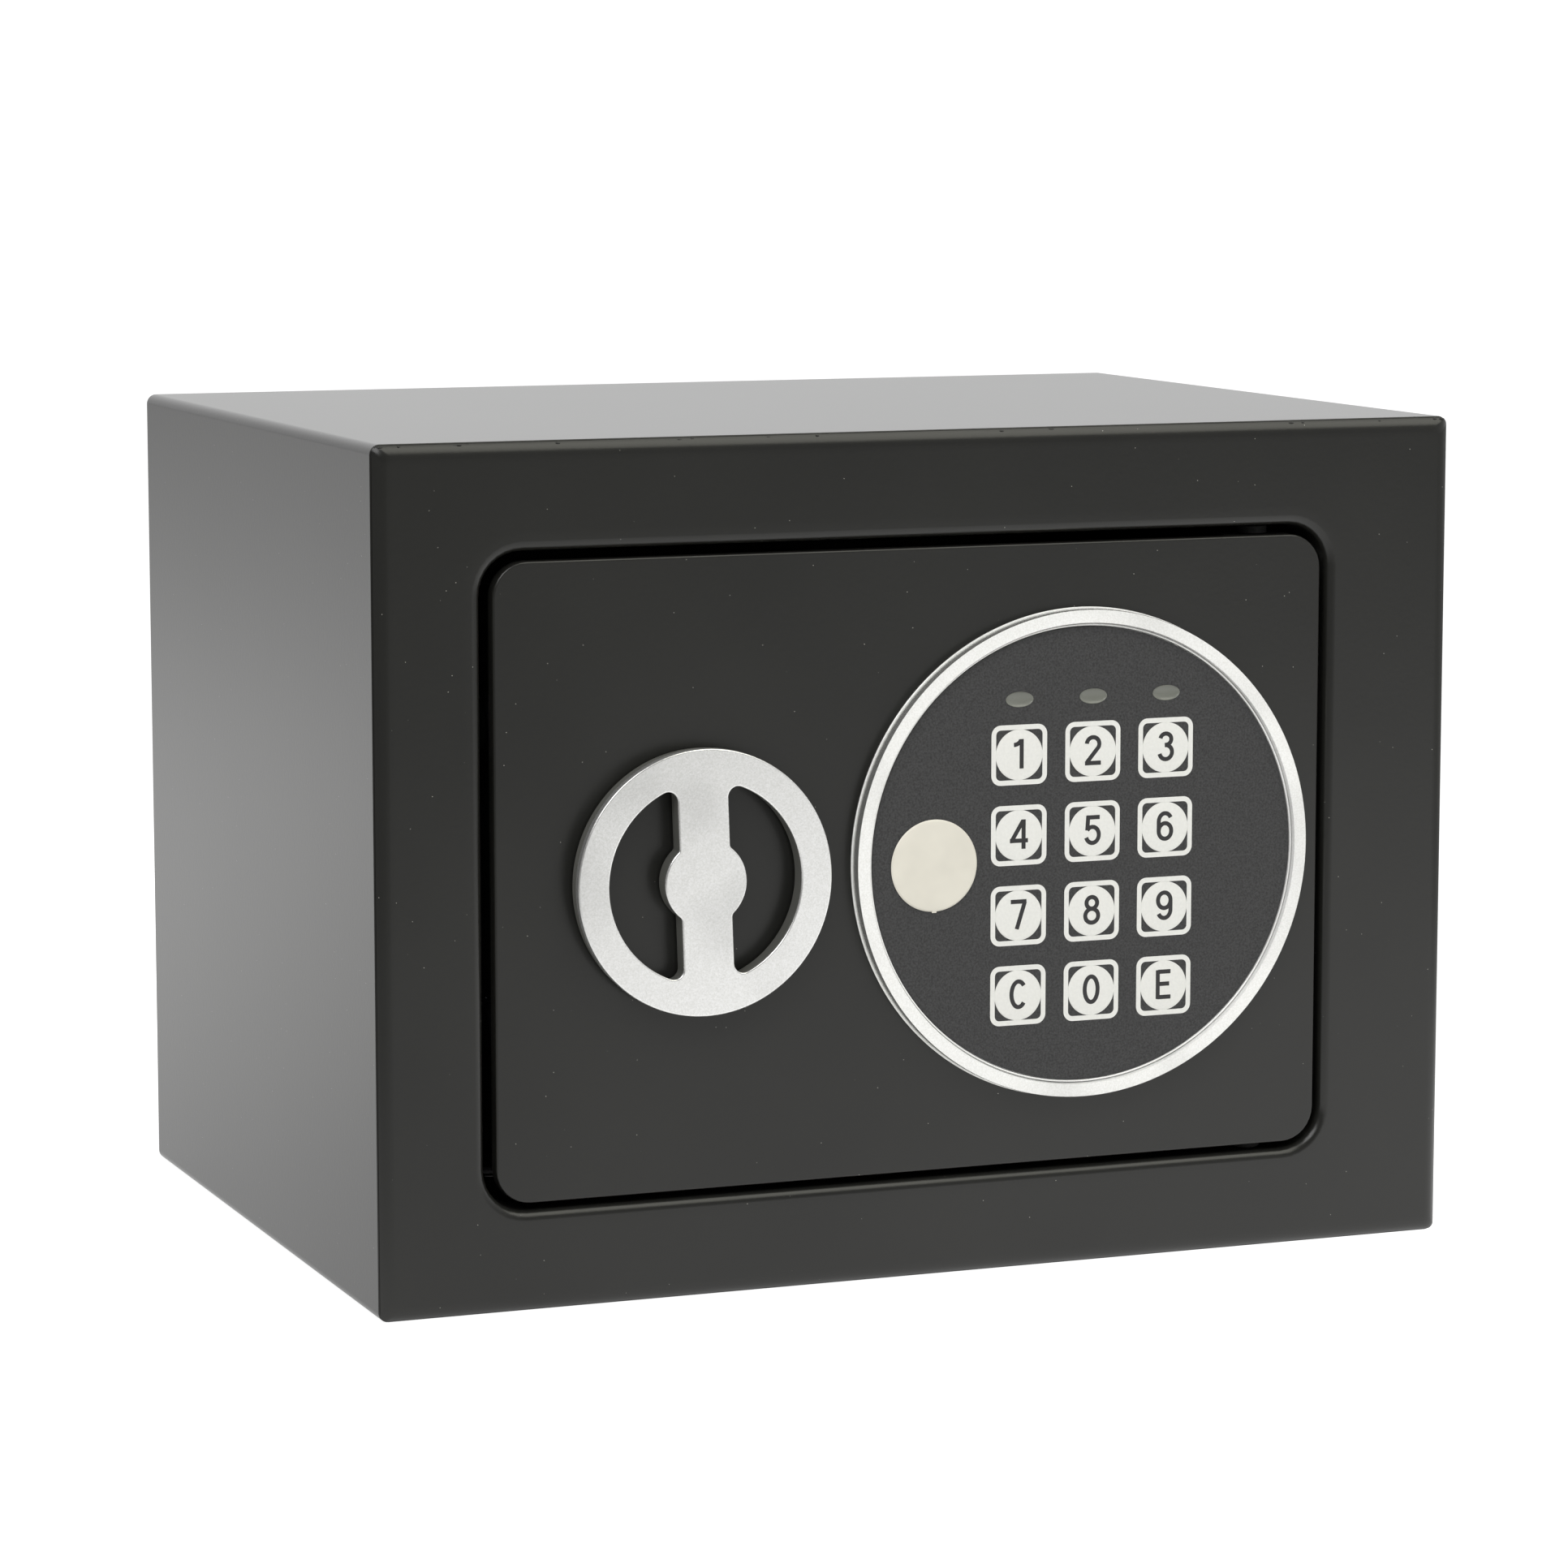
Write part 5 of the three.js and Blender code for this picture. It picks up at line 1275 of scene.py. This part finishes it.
class SAFE_OT_lock(bpy.types.Operator):
    """Models the ivory cap over the emergency lock"""

    bl_idname = "safe.lock"
    bl_label = "Emergency lock"

    def execute(self, context):
        settings = context.scene.safe_lock
        low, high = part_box("key_cover")
        place = middle("key_cover")
        radius = half_width("key_cover")
        seat = FACE_FRONT - PLAY
        edge = settings.cap_edge
        profile = [
            (0, low.y),
            (radius - 3 * edge, low.y + 0.03 * MM),
            (radius - edge, low.y + 0.1 * MM),
            (radius - 0.3 * edge, low.y + 0.2 * MM),
            (radius, seat),
            (CAP_STUB, seat),
            (CAP_STUB, high.y - 0.3 * MM),
            (CAP_STUB - 0.3 * MM, high.y),
            (0, high.y),
        ]
        cap = turn(ahead("key_cover", 0), Y, profile, 96)
        half = settings.nib_width / 2
        bottom = place.z - radius
        nib = add_box(
            (place.x - half, low.y + 0.15 * MM, bottom - settings.nib_reach),
            (place.x + half, seat, bottom + MM),
        )
        ease(nib, 0.12 * MM)
        combine(cap, [nib], "UNION")
        ivory = moulded_abs("ivory ABS", settings.cap, 0.38, size=0.6, depth=0.004)
        complete(cap, "ivory_cap", "key_cover", "ivory_plastic", ivory, "key_cover")
        return {"FINISHED"}


class SAFE_OT_knob(bpy.types.Operator):
    """Models the knob's silver face and dark body"""

    bl_idname = "safe.knob"
    bl_label = "Knob"

    def execute(self, context):
        settings = context.scene.safe_knob
        silver = silver_lacquer("silver-lacquered ABS, knob", settings.silver)
        black = moulded_abs("dark ABS, knob", linear("#62625e"), 0.38)
        low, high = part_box("knob_face")
        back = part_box("knob_body")[1].y
        radius = half_width("knob_face")
        inner = radius - settings.skirt
        seat = low.y + settings.face_depth
        face = self.disc(radius, low.y, high.y)
        combine(face, [self.disc(inner, seat, high.y + OVERSHOOT)])
        combine(face, self.windows(settings, 0.0))
        ease(face, settings.edge, segments=4, angle=50)
        complete(face, "silver_face", "knob", "silver_plastic", silver, "knob_face")
        fit = settings.fit
        body = self.disc(radius - settings.body_step, high.y + fit, back)
        combine(body, [self.disc(inner - fit, seat + fit, back - MM)], "UNION")
        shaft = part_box("knob_shaft")[0].y
        combine(body, [self.disc(half_width("knob_shaft") + PLAY, shaft, back + OVERSHOOT)])
        combine(body, self.windows(settings, settings.body_step))
        ease(body, settings.body_edge, angle=50)
        complete(body, "black_body", "knob", "black_plastic", black, "knob_body")
        return {"FINISHED"}

    def disc(self, radius, start, end):
        """A disc about the knob's axis, between two depths."""
        return add_pin("knob_face", (start + end) / 2, radius, end - start, 144)

    def windows(self, settings, step):
        """Cutters for the two windows. The body's walls stand back from the face's by a step."""
        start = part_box("knob_face")[0].y - OVERSHOOT
        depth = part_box("knob_body")[1].y + OVERSHOOT - start
        return [self.window(start, depth, settings, step, side) for side in (0, math.pi)]

    def window(self, start, depth, settings, step, side):
        """A cutter for one window, between the rim, the spoke and the hub."""
        rim = (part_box("knob_face")[1].x - KNOB.x) - settings.rim + step
        hub = settings.hub - step
        flank = settings.spoke / 2 - step
        corner = settings.corner
        corner_x = flank + corner
        corner_z = math.sqrt((rim - corner) ** 2 - corner_x**2)
        lean = math.atan2(corner_z, corner_x)
        hub_turn = math.acos(flank / hub)
        turned = settings.tilt + side
        centre = ahead("knob_face", start)

        def corner_at(up):
            x = corner_x * math.cos(turned) - up * corner_z * math.sin(turned)
            z = corner_x * math.sin(turned) + up * corner_z * math.cos(turned)
            return centre + X * x + Z * z

        points = [
            *arc(centre, rim, turned - lean, turned + lean, 48),
            *arc(corner_at(1), corner, turned + lean, turned + math.pi, 12)[1:],
            *arc(centre, hub, turned + hub_turn, turned - hub_turn, 28),
            *arc(corner_at(-1), corner, turned + math.pi, turned + math.tau - lean, 12)[:-1],
        ]
        return add_outline(points, depth)


class SAFE_OT_bolts(bpy.types.Operator):
    """Models the two round bolts"""

    bl_idname = "safe.bolts"
    bl_label = "Bolts"

    def execute(self, context):
        zinc = zinc_plate("zinc-plated steel, bolts", "#b9bcbe", 0.26)
        low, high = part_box("bolt_upper")
        radius = half_width("bolt_upper", "z")
        tail, step = radius / 2, 1.8 * MM
        chamfer, edge = 1.1 * MM, 0.4 * MM
        profile = [
            (0, low.x),
            (radius - chamfer, low.x),
            (radius, low.x + chamfer),
            (radius, high.x - step),
            (tail, high.x - step),
            (tail, high.x),
            (0, high.x),
        ]
        place = middle("bolt_upper")
        upper = turn(Vector((0, place.y, place.z)), X, rounded(profile, edge))
        lower = copy_to(upper, middle("bolt_lower") - place)
        complete(upper, "bolt_upper_turned", "bolts", "zinc_steel", zinc, "bolt_upper")
        complete(lower, "bolt_lower_turned", "bolts", "zinc_steel", zinc, "bolt_lower")
        return {"FINISHED"}


class SAFE_OT_works(bpy.types.Operator):
    """Dresses what lies behind the door plate: the latch, the lock, the boards and the batteries"""

    bl_idname = "safe.works"
    bl_label = "Works inside the door"

    def execute(self, context):
        zinc = zinc_plate("zinc-plated steel, works")
        black = moulded_abs("black ABS, battery box", linear("#1b1b1c"), 0.48)
        brass = turned_brass("turned brass")
        red = moulded_abs("red ABS", linear("#b3261e"), 0.35)
        nylon = moulded_abs("natural nylon", linear("#d9d6cc"), 0.42)
        mask = solder_mask("glass epoxy under green solder mask")
        winding = enamelled_winding("enamelled copper winding")
        works = [
            ("door", "zinc_steel", zinc, 0.15, ["lock_body", "lock_nut", "solenoid_frame"]),
            ("door", "zinc_steel", zinc, 0.15, ["carriage_guide_upper", "carriage_guide_lower"]),
            ("knob", "zinc_steel", zinc, 0.15, ["knob_shaft", "cam_arm", "shaft_clip"]),
            ("bolts", "zinc_steel", zinc, 0.15, ["bolt_carriage"]),
            ("lock_core", "lock_brass", brass, 0.12, ["lock_plug"]),
            ("lock_core", "zinc_steel", zinc, 0.15, ["lock_cam"]),
            ("plunger", "zinc_steel", zinc, 0.12, ["solenoid_plunger"]),
            ("door", "black_plastic", black, 0.25, ["battery_holder", "buzzer", "reset_switch"]),
            ("battery_lid", "black_plastic", black, 0.25, ["battery_lid"]),
            ("reset_button", "red_plastic", red, 0.2, ["reset_button"]),
            ("door", "nylon", nylon, 0.1, ["knob_bush"]),
        ]
        for body, slot, material, radius, nodes in works:
            for node in nodes:
                piece = eased_copy(node, radius * MM)
                complete(piece, node + "_eased", body, slot, material, node)
        self.spring(zinc)
        self.paint("keypad_board", mask)
        self.paint("circuit_board", mask)
        self.paint("solenoid_coil", winding)
        for i in range(1, 5):
            self.battery(i)
        return {"FINISHED"}

    def spring(self, material):
        """The plunger's spring, with its own mesh. The real one shortens towards its upper end as
        the plunger lifts.
        """
        turns = eased_copy("plunger_spring", 0.05 * MM)
        complete(turns, "plunger_spring_turns", "door", "zinc_steel", material, "plunger_spring")
        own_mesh(turns)

    def paint(self, node, material):
        """Gives a CAD node its finish."""
        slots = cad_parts[node].data.materials
        slots.clear()
        slots.append(material)

    def battery(self, number):
        """An alkaline cell, with its coppery end at the nub or away from it."""
        node = f"battery_{number}"
        low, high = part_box(node)
        size = high.x - low.x
        start = high.x - 0.28 * size if number % 2 else low.x + 0.28 * size
        wrap = cell_wrap(f"printed cell film {number}", start)
        piece = eased_copy(node, 0.4 * MM)
        complete(piece, node + "_wrapped", "door", "cell_wrap", wrap, node)


class SAFE_OT_stage(bpy.types.Operator):
    """Sets the pale floor, the studio light and the camera"""

    bl_idname = "safe.stage"
    bl_label = "Stage"

    def execute(self, context):
        settings = context.scene.safe_stage
        self.camera(context.scene, settings)
        self.floor(settings)
        self.world(context.scene)
        self.lamp("key_light", (-1.3, -1.5, 1.9), size=1.6, power=30)
        self.lamp("top_light", (0.8, -0.9, 1.9), size=1.6, power=18, color=(1, 0.99, 0.88))
        context.scene.view_settings.view_transform = "Standard"
        return {"FINISHED"}

    def camera(self, scene, settings):
        """A camera at the photograph's place and focal length."""
        around, over = settings.azimuth, settings.elevation
        side, front = math.sin(around) * math.cos(over), -math.cos(around) * math.cos(over)
        back = Vector((side, front, math.sin(over)))
        data = bpy.data.cameras.new("camera")
        data.lens = settings.focal_length
        data.sensor_width = 36.0
        camera = bpy.data.objects.new("camera", data)
        scene.collection.objects.link(camera)
        camera.location = Vector(settings.aim) + back * settings.distance
        camera.rotation_euler = back.to_track_quat("Z", "Y").to_euler()
        scene.camera = camera

    def lamp(self, name, place, size, power, color=(1, 1, 1)):
        """A square soft box that faces the safe."""
        bpy.ops.object.light_add(type="AREA", location=place)
        lamp = bpy.context.object
        lamp.name = name
        lamp.data.size = size
        lamp.data.energy = power
        lamp.data.color = color
        middle_of_safe = Vector((0, 0, 0.08))
        aim = middle_of_safe - Vector(place)
        lamp.rotation_euler = aim.to_track_quat("-Z", "Y").to_euler()

    def floor(self, settings):
        """A pale floor that runs to a white horizon and takes a soft shadow."""
        bpy.ops.mesh.primitive_plane_add(size=settings.floor_size)
        floor = bpy.context.object
        floor.name = "floor"
        material, tree, shader = new_material("matt white paper", linear("#ededeb"), 0.9)
        path = add_node(tree, "LightPath", {}).outputs
        glow = add_node(
            tree, "Emission", {"Color": (1, 1, 1, 1), "Strength": self.floor_light(tree, path)}
        )
        # The camera and glosses see three quarters glow and one quarter of the paper's shading.
        share = add_node(tree, "Math", {"operation": "MULTIPLY", 0: self.seen(tree, path), 1: 0.75})
        looks = {0: share.outputs[0], 1: shader.outputs[0], 2: glow.outputs[0]}
        mixed = add_node(tree, "MixShader", looks)
        output = next(n for n in tree.nodes if n.type == "OUTPUT_MATERIAL")
        tree.links.new(mixed.outputs[0], output.inputs["Surface"])
        floor.data.materials.append(material)

    def floor_light(self, tree, path):
        """White for the camera. Reflections show it dimmer in front, at the left and far off."""
        lit = fade(
            tree,
            add_node(tree, "TexCoord", {}).outputs["Object"],
            ((0.83, 0.56, 0), (-0.55, 0.08), (0.05, 1.45)),  # in front
            ((-0.37, 0.93, 0), (0.8, 1.5), (1.08, 0.75)),  # far behind
            ((0.94, 0.33, 0), (0.16, 0.45), (1.0, 0.12)),  # beside
        )
        white = add_node(tree, "Math", {"operation": "MULTIPLY", 0: path["Is Camera Ray"], 1: 1.25})
        brighter = {"operation": "MAXIMUM", 0: white.outputs[0], 1: lit}
        return add_node(tree, "Math", brighter).outputs[0]

    def seen(self, tree, path):
        """1 where the camera, a gloss or a clear piece shows the surroundings, and 0 elsewhere."""
        share = path["Is Camera Ray"]
        for ray in ("Is Glossy Ray", "Is Transmission Ray"):
            either = {"operation": "MAXIMUM", 0: share, 1: path[ray]}
            share = add_node(tree, "Math", either).outputs[0]
        return share

    def world(self, scene):
        """White surroundings that light the safe plainly, dimmer above, at the left and ahead."""
        world = bpy.data.worlds.new("studio")
        world.use_nodes = True
        scene.world = world
        tree = world.node_tree
        tree.nodes.clear()
        path = add_node(tree, "LightPath", {}).outputs
        dark_side = Vector((-0.5, -0.82, 0.28)).normalized()
        room = fade(
            tree,
            add_node(tree, "TexCoord", {}).outputs["Generated"],
            (dark_side, (0.9, -0.6), (0.08, 1.25)),
            (Z, (0.33, 0.6), (1.0, 0.4)),  # above
            (X, (-0.02, -0.45), (1.0, 0.5)),  # at the left
        )
        brighter = {"operation": "MAXIMUM", 0: path["Is Camera Ray"], 1: room}
        plain = add_node(tree, "Math", brighter).outputs[0]
        white = add_node(tree, "Background", {"Color": (1, 1, 1, 1), "Strength": plain})
        soft = add_node(tree, "Background", {"Color": (1, 1, 1, 1), "Strength": 0.5})
        looks = {0: self.seen(tree, path), 1: soft.outputs[0], 2: white.outputs[0]}
        mixed = add_node(tree, "MixShader", looks)
        add_node(tree, "OutputWorld", {"Surface": mixed.outputs[0]})


SETTINGS = {
    "safe_cabinet": CabinetSettings,
    "safe_door": DoorSettings,
    "safe_cover": CoverSettings,
    "safe_keypad": KeypadSettings,
    "safe_lock": LockSettings,
    "safe_knob": KnobSettings,
    "safe_mat": MatSettings,
    "safe_stage": StageSettings,
}
OPERATORS = [
    SAFE_OT_stage,
    SAFE_OT_cabinet,
    SAFE_OT_floor_mat,
    SAFE_OT_door,
    SAFE_OT_inner_cover,
    SAFE_OT_keypad,
    SAFE_OT_keys,
    SAFE_OT_lock,
    SAFE_OT_knob,
    SAFE_OT_bolts,
    SAFE_OT_works,
]


class SAFE_PT_sidebar(bpy.types.Panel):
    """Lists the pieces of the safe and their settings"""

    bl_idname = "SAFE_PT_sidebar"
    bl_label = "Electronic safe"
    bl_space_type = "VIEW_3D"
    bl_region_type = "UI"
    bl_category = "Safe"

    def draw(self, context):
        for operator in OPERATORS:
            self.layout.operator(operator.bl_idname)
        for name, group in SETTINGS.items():
            box = self.layout.box()
            box.label(text=group.__name__)
            for prop in group.__annotations__:
                box.prop(getattr(context.scene, name), prop)


def register():
    for name, group in SETTINGS.items():
        bpy.utils.register_class(group)
        setattr(bpy.types.Scene, name, bpy.props.PointerProperty(type=group))
    for cls in OPERATORS + [SAFE_PT_sidebar]:
        bpy.utils.register_class(cls)


def unregister():
    for cls in reversed(OPERATORS + [SAFE_PT_sidebar]):
        bpy.utils.unregister_class(cls)
    for name, group in SETTINGS.items():
        delattr(bpy.types.Scene, name)
        bpy.utils.unregister_class(group)


def main():
    register()
    bpy.ops.object.select_all(action="DESELECT")
    for operator in OPERATORS:
        group, action = operator.bl_idname.split(".")
        getattr(getattr(bpy.ops, group), action)()


if __name__ == "__main__":
    main()
